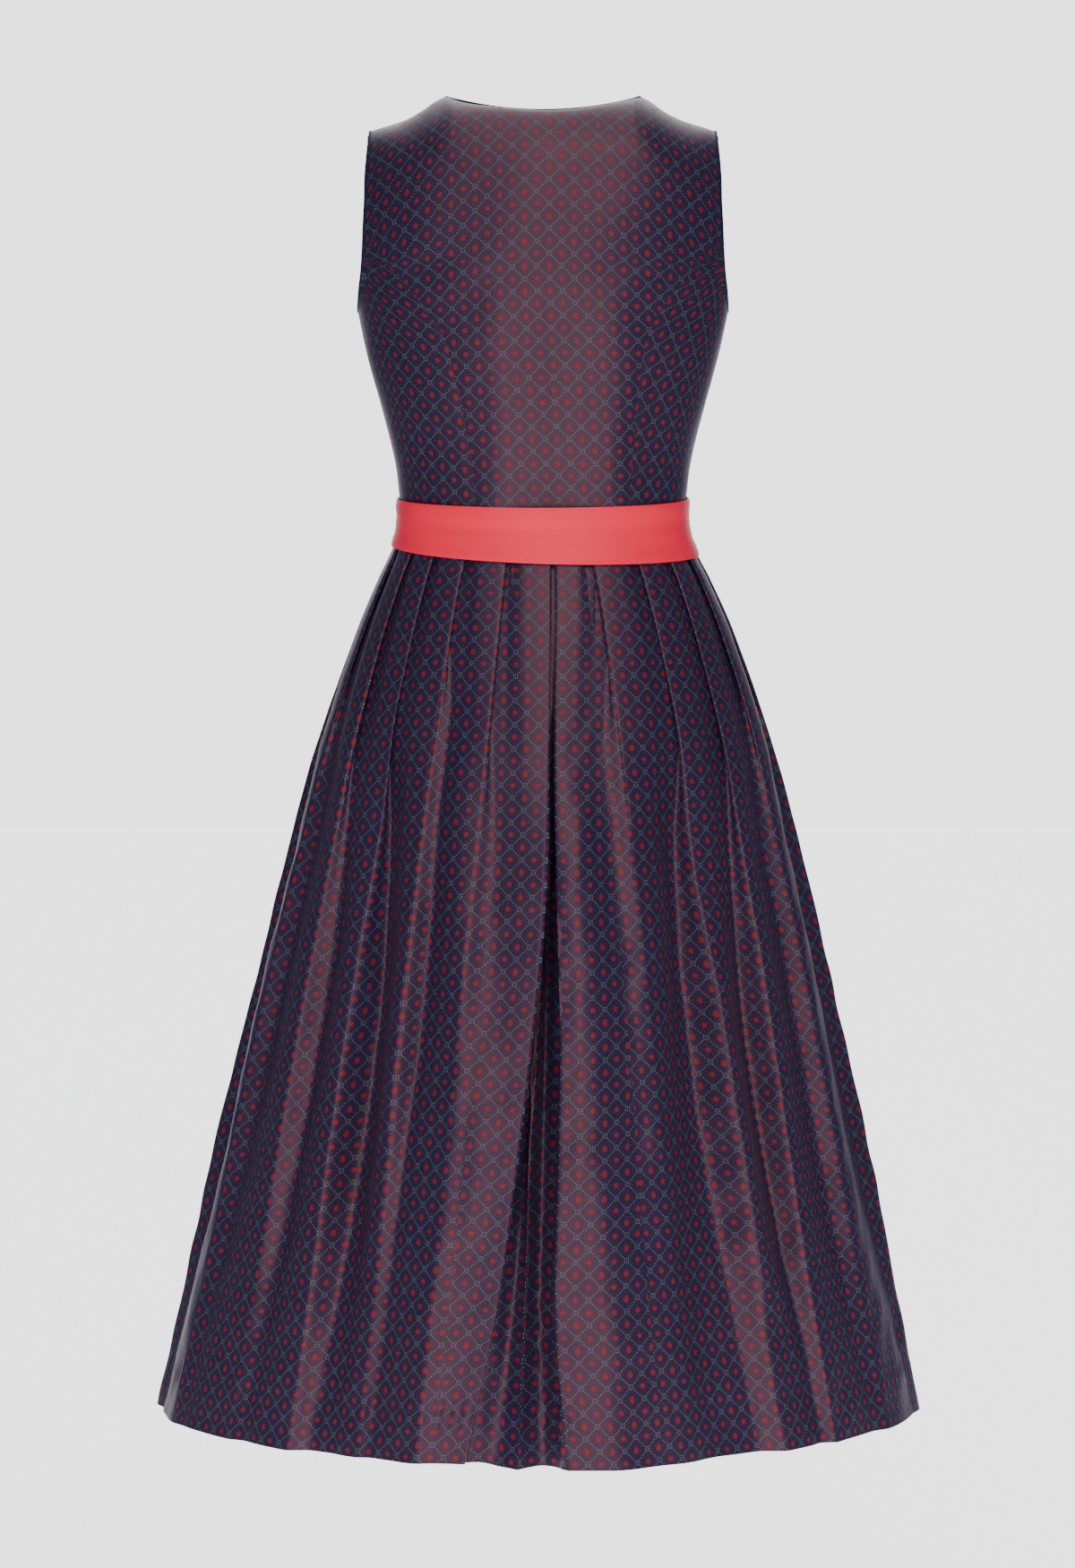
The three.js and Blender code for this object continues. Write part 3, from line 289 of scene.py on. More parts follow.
def ellipse(put, across, along, half_width, half_length):
    """Above 0 inside an oval, 1 at its middle."""
    wide = put("Math POWER", put("Math DIVIDE", across, half_width), 2.0)
    long = put("Math POWER", put("Math DIVIDE", along, half_length), 2.0)
    return put("Math SUBTRACT", 1.0, put("Math ADD", wide, long))


def petals(put, radius, turn, number, centre, reach, breadth, phase=0.0):
    """Separate round petals in a ring: number of them, at centre from the middle of the cell."""
    sector = 2 * math.pi / number
    wrapped = put("Math FLOORED_MODULO", put("Math ADD", turn, phase), sector)
    sideways = put("Math MULTIPLY", put("Math SINE", put("Math SUBTRACT", wrapped, sector / 2)), radius)
    out = put("Math SUBTRACT", radius, centre)
    return inside(put, put("Math MULTIPLY", ellipse(put, sideways, out, breadth, reach), breadth))


# %% Red figures, florets and lattice
def red_figures(put, x, y, radius, turn, odd_row):
    # the drop: a bud of a few leaves, narrower at its top, in every other row
    narrow = put("Math MULTIPLY", put("Math SUBTRACT", 1.0, put("Math MULTIPLY", y, 0.7)), 0.20)
    oval = ellipse(put, x, put("Math ADD", y, 0.01), narrow, 0.27)
    drop = inside(put, put("Math MULTIPLY", oval, 0.12))
    wave = put("Math ABSOLUTE", put("Math SINE", put("Math MULTIPLY", y, 21.0)))
    vein = inside(put, put("Math SUBTRACT", wave, 0.45), 0.5)
    drop = put("Math MULTIPLY", drop, put("Math ADD", 0.35, put("Math MULTIPLY", vein, 0.65)))
    # the blossom: five small petals, in the rows between
    blossom = petals(put, radius, turn, 5, 0.13, 0.11, 0.078, 0.5)
    odd_figure = put("Math MULTIPLY", drop, odd_row)
    even_row = put("Math SUBTRACT", 1.0, odd_row)
    even_figure = put("Math MULTIPLY", put("Math MULTIPLY", blossom, 0.95), even_row)
    return put("Math ADD", odd_figure, even_figure)


def lattice_stitches(put, gx, gy, radius):
    """Rows of stitches on both diagonals, three to a cell, left out round the middle of each cell."""
    slant, counter = put("Math ADD", gx, gy), put("Math SUBTRACT", gx, gy)
    beside_slant = put("Math FLOORED_MODULO", put("Math ADD", slant, 1.0), 2.0)
    beside_counter = put("Math FLOORED_MODULO", counter, 2.0)
    stitches = []
    for beside, way in ((beside_slant, counter), (beside_counter, slant)):
        line = put("Math ABSOLUTE", put("Math SUBTRACT", beside, 1.0))
        beat = put("Math SUBTRACT", put("Math FRACT", put("Math MULTIPLY_ADD", way, 3.0, 0.5)), 0.5)
        stitches.append(inside(put, put("Math MULTIPLY", ellipse(put, beat, line, 0.27, 0.06), 0.06)))
    open_middle = inside(put, put("Math SUBTRACT", radius, 0.22))
    return put("Math MULTIPLY", put("Math MAXIMUM", *stitches), open_middle)


def figures(put, place):
    """How red, how mint and how stitched each point of the cloth is, from 0 to 1."""
    split = put("SeparateXYZ", place, out=None)
    gx = put("Math MULTIPLY", split.outputs[0], 1000 / LATTICE)
    gy = put("Math MULTIPLY", split.outputs[1], 1000 / LATTICE)
    column, row = put("Math FLOOR", gx), put("Math FLOOR", gy)
    x = put("Math SUBTRACT", put("Math SUBTRACT", gx, column), 0.5)
    y = put("Math SUBTRACT", put("Math SUBTRACT", gy, row), 0.5)
    radius = put("Math SQRT", put("Math ADD", put("Math MULTIPLY", x, x), put("Math MULTIPLY", y, y)))
    turn = put("Math ARCTAN2", y, x)
    odd = put("Math FLOORED_MODULO", put("Math ADD", column, row), 2.0)
    odd_row = put("Math FLOORED_MODULO", row, 2.0)
    even = put("Math SUBTRACT", 1.0, odd)
    red = put("Math MULTIPLY", red_figures(put, x, y, radius, turn, odd_row), even)
    # the floret: four petals on the lattice's lines, with four stitches between them
    diagonal = petals(put, radius, turn, 4, 0.15, 0.07, 0.032, math.pi / 4)
    floret = put("Math MAXIMUM", diagonal, petals(put, radius, turn, 4, 0.24, 0.03, 0.03))
    return red, put("Math MULTIPLY", floret, odd), lattice_stitches(put, gx, gy, radius)


# %% [markdown]
# ### Shot satin jacquard
# The ground is a warp-faced satin of fine polyester: navy warp over a rust weft. The warp is the colour that
# scattered light brings back, and the smooth floats mirror light with the weft's rust, so the cloth turns
# from navy to red-brown as it bends. A thread is about 0.1 mm, too fine to show, so the twill is drawn at
# about 1 mm, and streaks of uneven dye run along the warp.

# %% Jacquard
WARP = "#16203e"
GROUND = "#181729"
WEFT_POINTS = "#561a34"
RED_FIGURE = "#7e151f"
MINT_FIGURE = "#6b8d8e"
WEFT_GLEAM = "#c08880"
WARP_SHEEN = "#39508c"


def jacquard_material(name):
    material, tree = new_material(name)
    put = functools.partial(add, tree)
    place = put("UVMap", uv_map="cloth")
    red, mint, lattice = figures(put, place)

    # threads: uneven dye along the warp, and fine red points of weft between the figures
    streak = put("TexNoise", put("Mapping", place, None, None, (2600.0, 160.0, 1.0)), None, 1.0, 3.0)
    points = put("TexNoise", put("Mapping", place, None, None, (780.0, 780.0, 1.0)), None, 1.0, 1.0)
    points = put("Math MULTIPLY", put("Math SUBTRACT", points, 0.54), 9.0, use_clamp=True)
    cloud = put("TexNoise", put("Mapping", place, None, None, (9.0, 7.0, 1.0)), None, 1.0, 2.0)
    blend = put("Math ADD", put("Math MULTIPLY", streak, 0.6), put("Math MULTIPLY", cloud, 0.5))
    woven = put("MixRGB", blend, colour(WARP), colour(GROUND))
    stitched = ((lattice, 0.36, MINT_FIGURE), (mint, 0.48, MINT_FIGURE), (red, 0.76, RED_FIGURE))
    for cover, strength, thread in ((points, 0.62, WEFT_POINTS), *stitched):
        woven = put("MixRGB", put("Math MULTIPLY", cover, strength), woven, colour(thread))

    figure = put("Math MAXIMUM", red, put("Math MAXIMUM", mint, put("Math MULTIPLY", lattice, 0.7)))
    twill = put("TexWave", place, 420.0, 0.0, bands_direction="DIAGONAL")
    relief = put("Math ADD", put("Math MULTIPLY", figure, 0.6), put("Math MULTIPLY", twill, 0.25))
    relief = put("Math ADD", relief, put("Math MULTIPLY", streak, 0.3))
    rough = put("Math ADD", 0.38, put("Math MULTIPLY", figure, 0.14))
    bumped = put("Bump", named={"Strength": 0.35, "Distance": 0.00025, "Height": relief})
    shader = put("BsdfPrincipled", named={
        "Base Color": woven,
        "Roughness": rough,
        "Normal": bumped,
        "IOR": 1.5,
        "Specular IOR Level": 1.0,
        "Specular Tint": colour(WEFT_GLEAM),
        "Sheen Weight": 0.02,
        "Sheen Roughness": 0.4,
        "Sheen Tint": colour(WARP_SHEEN),
    })
    put("OutputMaterial", shader, out=None)
    return material


jacquard = jacquard_material("shot_satin_jacquard")
print("jacquard nodes:", len(jacquard.node_tree.nodes))

# %% [markdown]
# ### Coral satin and navy binding
# The sash, bow and apron are a plain polyester satin: long floats of bright thread lie side by side, so it
# gleams softly in broad patches and shows hardly any weave. A faint streak along the thread keeps it from
# looking like plastic. The binding is a matt cotton strip cut on the bias, and its threads show evenly.

# %% Satin and binding
def plain_cloth(name, base, deep, tint, roughness, sheen, thread, gleam):
    material, tree = new_material(name)
    put = functools.partial(add, tree)
    place = put("UVMap", uv_map="cloth")
    streak = put("TexNoise", put("Mapping", place, None, None, thread), None, 1.0, 4.0)
    cloud = put("TexNoise", put("Mapping", place, None, None, (14.0, 11.0, 1.0)), None, 1.0, 2.0)
    blend = put("Math SUBTRACT", put("Math ADD", streak, cloud), 0.65, use_clamp=True)
    weave = put("TexWave", place, 520.0, 0.0, bands_direction="DIAGONAL")
    relief = put("Math ADD", streak, put("Math MULTIPLY", weave, 0.4))
    shader = put("BsdfPrincipled", named={
        "Base Color": put("MixRGB", blend, colour(deep), colour(base)),
        "Roughness": put("MapRange", streak, 0.3, 0.7, roughness - 0.05, roughness + 0.07),
        "Normal": put("Bump", named={"Strength": 0.22, "Distance": 0.0002, "Height": relief}),
        "IOR": 1.5,
        "Specular IOR Level": gleam,
        "Specular Tint": colour(tint),
        "Sheen Weight": sheen,
        "Sheen Roughness": 0.5,
        "Sheen Tint": colour(tint),
    })
    put("OutputMaterial", shader, out=None)
    return material


coral_satin = plain_cloth(
    "coral_satin", "#ff2446", "#f21c3e", "#ff8e98", 0.33, 0.02, (120.0, 2200.0, 1.0), 0.6
)
navy_binding = plain_cloth(
    "navy_bias_binding", "#0f1830", "#0b1122", "#6f86b8", 0.5, 0.1, (1500.0, 1500.0, 1.0), 0.25
)
print("plain cloths:", coral_satin.name, navy_binding.name)


# %% [markdown]
# ### Dressing a piece
# Each piece gets its cloth, rides on the body and stands in for the plain solid of its node. As this is
# the same for all of them, one function does it.

# %% Dressing a piece
def dress(piece, material, slot, *nodes):
    piece.data.materials.append(material)
    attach(piece, "root")
    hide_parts(*nodes)
    print(piece.name, "faces", len(piece.data.polygons))
    return piece


# %% [markdown]
# ## The bodice
# It has seven panels, cut so that their princess seams shape the back and front with no dart. A panel's
# points come from two curved surfaces, one behind and one in front, that roll forward to meet at the
# shoulder seam.

# %% Sizes of the bodice, in millimetres
NECK_HALF_WIDTH = 80
BACK_NECK_DROP = 11.5
BACK_NECK_DEPTH = 62
FRONT_NECK_DROP = 165
FRONT_NECK_SQUARENESS = 2.6
SHOULDER_TIP_X = 140
SHOULDER_ROUND = 45
ARMHOLE_Z = -101.5
ARMHOLE_HALF_HEIGHT = 74
ARMHOLE_TOP_Z = -31  # above this a panel ends at the shoulder's tip
ARMHOLE_BACK = 52
ARMHOLE_FRONT_LOW = 58
ARMHOLE_FRONT_HIGH = 40
PRINCESS_TOP_Z = -121
PRINCESS_JOIN = 16  # height over which a princess seam bends to meet the armhole
WAIST_Z = -350
CENTRE_BACK_SHIFT = -8
BODICE_WALL = 1.6
SHOULDER_LINE = table(
    "x z",
    (80, 0),
    (86, -3),
    (91, -6.2),
    (96, -9.8),
    (102, -13.6),
    (109, -17.4),
    (119, -21.2),
    (131, -24.6),
    (140, -27.5),
)
BACK_PRINCESS = table(
    "z x",
    (-121, 145),
    (-137, 123),
    (-152, 110),
    (-165, 99.5),
    (-180, 89),
    (-195, 81),
    (-220, 75.5),
    (-255, 69),
    (-300, 64),
    (-350, 60),
)
FRONT_PRINCESS = table(
    "z x",
    (-121, 134),
    (-137, 117),
    (-152, 105),
    (-165, 96),
    (-180, 89),
    (-195, 85),
    (-220, 81),
    (-255, 76),
    (-300, 66),
    (-350, 58),
)
BUST_DEPTH, BUST_X, BUST_Z, BUST_SPREAD_X, BUST_SPREAD_Z = 8, 74, -226, 40, 46
LAP_HALF_WIDTH = 8
LAP_LIFT = BODICE_WALL + 1.2


# %% [markdown]
# ### The form of the bodice
# From behind, each point of a panel is known by its place across and its height, and the section at that
# height says how deep it lies. Near the shoulder the depth goes to nothing in a quarter of a circle, which
# rolls the strap forward to its seam. The armhole runs where this surface is as deep as the armhole's own
# oval.

# %% The two surfaces of the torso
def shoulder_height(x):
    return read(SHOULDER_LINE, "z", np.abs(x), "x")


def angle_at_x(section, x, side):
    low, high = np.zeros(np.shape(x)), np.full(np.shape(x), np.pi / 2)
    for _ in range(30):
        middle = (low + high) / 2
        short = section_point(section, middle)[0] < np.abs(x)
        low, high = np.where(short, middle, low), np.where(short, high, middle)
    return low if side > 0 else np.pi - low


def bust_swell(x, z):
    across, along = (np.abs(x) - BUST_X) / BUST_SPREAD_X, (z - BUST_Z) / BUST_SPREAD_Z
    return BUST_DEPTH * np.exp(-across * across - along * along)


def bodice_depth(x, z, side):
    x, z = np.broadcast_arrays(np.asarray(x, float), np.asarray(z, float))
    section = section_at(TORSO, z)
    full = np.abs(section_point(section, angle_at_x(section, x, side))[1])
    if side < 0:
        full = full + bust_swell(x, z) * np.minimum(1, full / 60)
    rounding = np.clip(1 - (x / NECK_HALF_WIDTH) ** 2, 0, 1)
    on_neck = np.abs(x) < NECK_HALF_WIDTH
    if side > 0:
        top_z = np.where(on_neck, -BACK_NECK_DROP * rounding, shoulder_height(x))
        top_depth = np.where(on_neck, BACK_NECK_DEPTH * np.sqrt(rounding), 0)
    else:
        top_z = np.where(on_neck, 0, shoulder_height(x))
        top_depth = 0
    below = np.clip((top_z - z) / SHOULDER_ROUND, 0, 1)
    return top_depth + (full - top_depth) * np.sqrt(1 - (1 - below) ** 2)


# %% Armholes and edges of the panels
def armhole_depth(z, side):
    rise = np.minimum(1, np.abs((z - ARMHOLE_Z) / ARMHOLE_HALF_HEIGHT))
    front = mix(ARMHOLE_FRONT_LOW, ARMHOLE_FRONT_HIGH, smooth((z + 120) / 95))
    return (ARMHOLE_BACK if side > 0 else front) * np.sqrt(1 - rise * rise)


def trace_armhole(z, side):
    low, high = np.full(z.shape, 60.0), read(TORSO, "half", z)
    for _ in range(24):
        middle = (low + high) / 2
        deeper = bodice_depth(middle, z, side) > armhole_depth(z, side)
        low, high = np.where(deeper, middle, low), np.where(deeper, high, middle)
    return low


ARMHOLE_HEIGHTS = np.linspace(-176, -27, 301)
ARMHOLE_EDGE = {side: trace_armhole(ARMHOLE_HEIGHTS, side) for side in (1, -1)}


def armhole_x(z, side):
    return np.interp(z, ARMHOLE_HEIGHTS, ARMHOLE_EDGE[side])


def centre_shift(z):
    return CENTRE_BACK_SHIFT * smooth((z - PRINCESS_TOP_Z) / (WAIST_Z - PRINCESS_TOP_Z))


def panel_edge_x(z, side):
    z = np.asarray(z, float)
    seam = read(BACK_PRINCESS if side > 0 else FRONT_PRINCESS, "x", z)
    join = smooth((z - PRINCESS_TOP_Z + PRINCESS_JOIN) / PRINCESS_JOIN)
    seam = mix(seam, armhole_x(PRINCESS_TOP_Z, side), join)
    above = np.where(z > ARMHOLE_TOP_Z, SHOULDER_TIP_X, armhole_x(z, side))
    return np.where(z > PRINCESS_TOP_Z, above, seam)


EVEN_TOP_Z = -71.0
SHOULDER_TURNS = np.radians([78, 66, 56, 47, 39, 32, 25, 19, 13, 8, 4, 0])


def column_heights(top, count):
    """Heights of a centre panel's column: even below the armhole, then round the shoulder in a curve."""
    lower = np.linspace(WAIST_Z, EVEN_TOP_Z, count)
    lower = np.sort(np.append(lower[np.abs(lower - PRINCESS_TOP_Z) > 1.5], PRINCESS_TOP_Z))
    share = np.maximum(0, (lower - PRINCESS_TOP_Z) / (EVEN_TOP_Z - PRINCESS_TOP_Z))
    lower = lower + share * (top - SHOULDER_ROUND - EVEN_TOP_Z)
    return np.concatenate([lower, top - SHOULDER_ROUND * (1 - np.cos(SHOULDER_TURNS))])


# %% [markdown]
# ### How worn cloth gives way
# A pressed seam sinks a little, and its allowance lifts the cloth beside it. Down the back two soft upright
# ridges stand, and slanting wrinkles are drawn from the armhole on the wearer's left. Cloth simulation could
# make such folds but not at the places of the real ones, so they are set one by one.

# %% Seams and drag wrinkles
RIDGE_LEFT_X, RIDGE_RIGHT_X = 36, -60
HOLLOW_X = -12
DRAG_X, DRAG_Z = 116, -135
DRAG_PITCH = 19


def cloth_lengths(grid, axis):
    """Lengths measured along the cloth from the first column or the lowest row."""
    steps = np.linalg.norm(np.diff(grid, axis=axis), axis=2)
    return np.concatenate([np.zeros_like(np.take(steps, [0], axis)), np.cumsum(steps, axis)], axis)


def seam_sink(distance):
    """How far the cloth sinks beside a pressed seam, and the soft ridge that its allowance lifts."""
    return -0.25 * bump(distance, 1.0) + 0.12 * bump(distance - 7.5, 3.5)


def back_drape(x, z):
    """Two soft upright ridges down the back, and slanting drag wrinkles by the wearer's left armhole."""
    lower = smooth((-130 - z) / 60)
    ridges = bump(x - RIDGE_LEFT_X, 17) + bump(x - RIDGE_RIGHT_X, 19) - 0.8 * bump(x - HOLLOW_X, 16)
    towards, beside = (DRAG_X - x) + (DRAG_Z - z), (x - DRAG_X) - (z - DRAG_Z)
    drag = np.cos(2 * np.pi * beside / DRAG_PITCH) * bump(beside, 24) * bump(towards, 46)
    return 2.1 * ridges * lower + 0.6 * drag


# %% [markdown]
# ### Centre back and fronts
# A centre panel is a set of columns that run from the waist up over the shoulder. The fronts lap at the
# middle, and the wearer's right front lies on top, so it is lifted by one thickness of cloth.

# %% Centre back and fronts
STRAP_COLUMNS, NECK_COLUMNS = 13, 41
PANEL_ROWS = 60


def back_grid():
    strap = np.linspace(NECK_HALF_WIDTH, SHOULDER_TIP_X, STRAP_COLUMNS)
    neck = np.linspace(-NECK_HALF_WIDTH, NECK_HALF_WIDTH, NECK_COLUMNS)
    columns = []
    for top_x in np.concatenate([-strap[::-1], neck[1:], strap[1:]]):
        rounding = 1 - min(1, abs(top_x) / NECK_HALF_WIDTH) ** 2
        top = -BACK_NECK_DROP * rounding if abs(top_x) < NECK_HALF_WIDTH else float(shoulder_height(top_x))
        z = column_heights(top, PANEL_ROWS)
        x = centre_shift(z) + top_x / SHOULDER_TIP_X * panel_edge_x(z, 1)
        columns.append(np.stack([x, bodice_depth(x, z, 1), z], 1))
    return np.stack(columns, 1)


def front_grid(hand):
    columns = []
    for u in np.linspace(0, 1, 37):
        top = float(shoulder_height(mix(NECK_HALF_WIDTH, SHOULDER_TIP_X, u)))
        z = column_heights(top, PANEL_ROWS)
        share = np.clip(-z / FRONT_NECK_DROP, 0, 1) ** FRONT_NECK_SQUARENESS
        neck = NECK_HALF_WIDTH * (1 - share) ** (1 / FRONT_NECK_SQUARENESS)
        inner = np.where(z <= -FRONT_NECK_DROP + 0.5, -LAP_HALF_WIDTH, neck)
        x = hand * mix(inner, panel_edge_x(z, -1), u)
        lift = LAP_LIFT * smooth((x + 50) / 30) if hand < 0 else 0
        columns.append(np.stack([x, -(bodice_depth(x, z, -1) + lift), z], 1))
    return np.stack(columns, 1)


def finish_panel(name, grid, node, seam_left, seam_right, grain=0.0, drape=0.0):
    """Moves a panel's points from the middle of its wall to its face, works the seams in and dresses it."""
    normal = outward(grid)
    u, v = cloth_lengths(grid, 1), cloth_lengths(grid, 0)
    width = u[:, -1:]
    middle = width / 2
    sink = seam_left * seam_sink(u) + seam_right * seam_sink(width - u)
    soft = 0.5 * ripples(u, v, len(name), 90) * smooth(u / 20) * smooth((width - u) / 20)
    grid = grid + normal * (BODICE_WALL / 2 + sink + soft + drape)[..., None]
    across = u - middle
    cos, sin = math.cos(grain), math.sin(grain)
    woven = plain_uv(across * cos - v * sin, v * cos + across * sin)
    panel = dress(cloth(name, grid, *woven, BODICE_WALL), jacquard, "jacquard", node)
    return panel


back = back_grid()
left_front, right_front = front_grid(1), front_grid(-1)
below = (back[:, 0, 2] <= PRINCESS_TOP_Z + 0.01)[:, None]
front_below = (left_front[:, -1, 2] <= PRINCESS_TOP_Z + 0.01)[:, None]
finish_panel("back_panel", back, "bodice_back", below, below, drape=back_drape(back[..., 0], back[..., 2]))
finish_panel("front_panel_left", left_front, "bodice_front_left", 0, front_below)
finish_panel("front_panel_right", right_front, "bodice_front_right", 0, front_below)

# %% [markdown]
# ### Side panels
# The side panels follow the torso's sections from the princess seam to the side seam. Their grain tilts
# with the seam, which is why the lattice on them leans a little against that of the back.

# %% Side panels
def side_grid(hand, side):
    rows = np.linspace(WAIST_Z, PRINCESS_TOP_Z, 48)

    def angle_of(u, z):
        shift = centre_shift(z) * hand if side > 0 else 0
        seam = angle_at_x(section_at(TORSO, z), panel_edge_x(z, side) + shift, side)
        return mix(seam, np.pi / 2, u)

    columns = []
    for u in np.linspace(0, 1, 31):
        low, high = ARMHOLE_Z - ARMHOLE_HALF_HEIGHT, PRINCESS_TOP_Z
        for _ in range(24):
            middle = (low + high) / 2
            y = abs(section_point(section_at(TORSO, middle), angle_of(u, middle))[1])
            if y > armhole_depth(middle, side):
                low = middle
            else:
                high = middle
        z = mix(WAIST_Z, low, (rows - WAIST_Z) / (PRINCESS_TOP_Z - WAIST_Z))
        angle = hand * angle_of(u, z)
        x = section_point(section_at(TORSO, z), angle)[0]
        columns.append(np.stack([x, side * bodice_depth(x, z, side), z], 1))
    return np.stack(columns, 1)


side_edges = {}
for hand, hand_name in ((1, "left"), (-1, "right")):
    for side, side_name in ((1, "back"), (-1, "front")):
        panel = side_grid(hand, side)
        side_edges[side_name, hand_name] = panel
        finish_panel(
            f"side_{side_name}_{hand_name}",
            panel,
            f"bodice_side_{side_name}_{hand_name}",
            1,
            1,
            math.radians(-6 * hand * side),
            back_drape(panel[..., 0], panel[..., 2]) if side > 0 else 0,
        )

# %% [markdown]
# ## Piping
# The neck and armholes are bound with a navy bias strip over a thin filling cord. A curve with a bevel would
# give the tube, but not threads that follow it at their true size. So rings of points are set along the cut
# edge, sunk a little into it as stitching would pull them, and the strip's own metres run along the tube.

# %% Piping
PIPING_RADIUS = 1.55
PIPING_GIRTH = 9.7
PIPING_SIDES = 14
PIPING_STAND = 0.75  # how far the tube's middle stands off the cut edge, in radii


def piping_rings(path, normals, closed):
    along = np.roll(path, -1, 0) - np.roll(path, 1, 0) if closed else np.gradient(path, axis=0)
    along /= np.linalg.norm(along, axis=1, keepdims=True)
    out = np.cross(along, normals)
    out /= np.linalg.norm(out, axis=1, keepdims=True)
    upward = np.cross(out, along)
    centre = path + out * (PIPING_RADIUS * PIPING_STAND)
    turns = np.linspace(0, 2 * np.pi, PIPING_SIDES, endpoint=False)
    cos, sin = np.cos(turns)[None, :, None], np.sin(turns)[None, :, None]
    return centre[:, None] + PIPING_RADIUS * cos * out[:, None] + PIPING_RADIUS * sin * upward[:, None]


def piping(name, path, normals, node, closed):
    count, sides = len(path), PIPING_SIDES
    closing = np.linalg.norm(path[0] - path[-1]) if closed else 0
    steps = np.linalg.norm(np.diff(path, axis=0), axis=1)
    length = np.concatenate([[0], np.cumsum(np.append(steps, closing))])
    girth = np.arange(sides + 1) / sides * PIPING_GIRTH
    faces, places = [], []
    for i in range(count if closed else count - 1):
        for j in range(sides):
            following, beside = (i + 1) % count * sides, (j + 1) % sides
            faces.append((i * sides + j, i * sides + beside, following + beside, following + j))
            places += [(length[i], girth[j]), (length[i], girth[j + 1])]
            places += [(length[i + 1], girth[j + 1]), (length[i + 1], girth[j])]
    if not closed:
        faces.append(tuple(range(sides))[::-1])
        faces.append(tuple((count - 1) * sides + j for j in range(sides)))
        places += [(0, 0)] * (2 * sides)
    mesh = bpy.data.meshes.new(name)
    mesh.from_pydata((piping_rings(path, normals, closed).reshape(-1, 3) * MM).tolist(), [], faces)
    layer = mesh.uv_layers.new(name="cloth")
    layer.data.foreach_set("uv", (np.array(places) * MM).ravel())
    mesh.shade_smooth()
    print(name, "strip", round(float(length[-1])), "x", PIPING_GIRTH, "mm")
    return dress(new_object(name, mesh), navy_binding, "piping", node)


# %% [markdown]
# ### Cut edges
# The piping's path is read from the edges of the panels' own grids, one panel after the other, so it can't
# miss them. Points that lie too close for a smooth tube are left out.

# %% Bindings of neck and armholes
CLOSEST = 2.4


def edge_of(grid, pick):
    return pick(grid), pick(outward(grid))


def joined(*edges):
    points, normals = (np.concatenate(parts) for parts in zip(*edges))
    kept = [0]
    for i in range(1, len(points)):
        if np.linalg.norm(points[i] - points[kept[-1]]) > CLOSEST:
            kept.append(i)
    return points[kept], normals[kept]


lap_row = int(np.argmax(left_front[:, 0, 2] > -FRONT_NECK_DROP - 0.2))
neck_points, neck_normals = joined(
    edge_of(right_front, lambda g: g[lap_row:, 0]),
    edge_of(back, lambda g: g[-1, STRAP_COLUMNS - 1 : STRAP_COLUMNS - 1 + NECK_COLUMNS]),
    edge_of(left_front, lambda g: g[lap_row + 1 :, 0][::-1]),
)
piping("neck_binding", neck_points, neck_normals, "neck_piping", closed=False)

armhole_row = int(np.argmax(below[:, 0] == 0)) - 1
for hand_name, front, back_edge, turned in (("left", left_front, -1, -1), ("right", right_front, 0, 1)):
    points, normals = joined(
        edge_of(back, lambda g: g[armhole_row:, back_edge]),
        edge_of(front, lambda g: g[armhole_row:, -1][::-1]),
        edge_of(side_edges["front", hand_name], lambda g: g[-1, 1:]),
        edge_of(side_edges["back", hand_name], lambda g: g[-1, :-1][::-1]),
    )
    node = f"armhole_piping_{hand_name}"
    piping(f"armhole_binding_{hand_name}", points[::turned], normals[::turned], node, closed=True)

# %% [markdown]
# ## Buttons
# Six buttons covered in the navy cloth close the front. A covered button is a shallow dome with a tight
# rolled rim, so its profile is turned round an axis that stands on the lap.

# %% Covered buttons
BUTTON_RADIUS = 5.5
BUTTON_HEIGHT = 3
BUTTON_HEIGHTS = [-177, -203, -229, -255, -281, -307]
BUTTON_PROFILE = [  # radius and height of each ring, as shares of the whole
    (0.82, 0), (0.97, 0.18), (1, 0.42), (0.93, 0.66), (0.78, 0.8), (0.55, 0.92), (0.28, 0.99), (0.02, 1)
]


def button(i, z):
    y = -(float(bodice_depth(0.0, z, -1)) + LAP_LIFT + BODICE_WALL / 2 + 0.05)
    dip = float(bodice_depth(0.0, z + 3, -1) - bodice_depth(0.0, z - 3, -1)) / 6
    normal = np.array([0, -1, -dip]) / math.hypot(1, dip)
    upward = np.array([0, -dip, 1]) / math.hypot(1, dip)
    turns = np.linspace(0, 2 * np.pi, 32, endpoint=False)[:, None]
    circle = np.cos(turns) * np.array([1, 0, 0]) + np.sin(turns) * upward
    seat = np.array([0, y, z])
    rings = [seat + normal * h * BUTTON_HEIGHT + BUTTON_RADIUS * r * circle for r, h in BUTTON_PROFILE]
    grid = np.stack(rings)
    looped = np.concatenate([grid, grid[:, :1]], 1)
    woven = plain_uv(looped[..., 0], looped[..., 2])
    piece = cloth(f"covered_button_{i}", grid, *woven, 0.5, closed=True, about=(0, y + 4))
    return dress(piece, navy_binding, "button", f"button_{i}")


for i, z in enumerate(BUTTON_HEIGHTS, 1):
    button(i, z)

# %% [markdown]
# ## The skirt
# Straight lengths of cloth are laid in knife pleats that all point to the centre back, where two of them
# meet over an inverted pleat. Pressed flat at the waist, they spring open lower down into stiff round cones.
# Each height has one line of cloth that runs round the body, and every point of it moves from its pressed
# place to its open place as the height falls.
#
# In the pleats' tables waist and hem are the angles of a fold's edge from the centre back, opensAt is the
# height where its crease has opened, and middle and lower are the depths of the fold halfway down and at
# the hem.

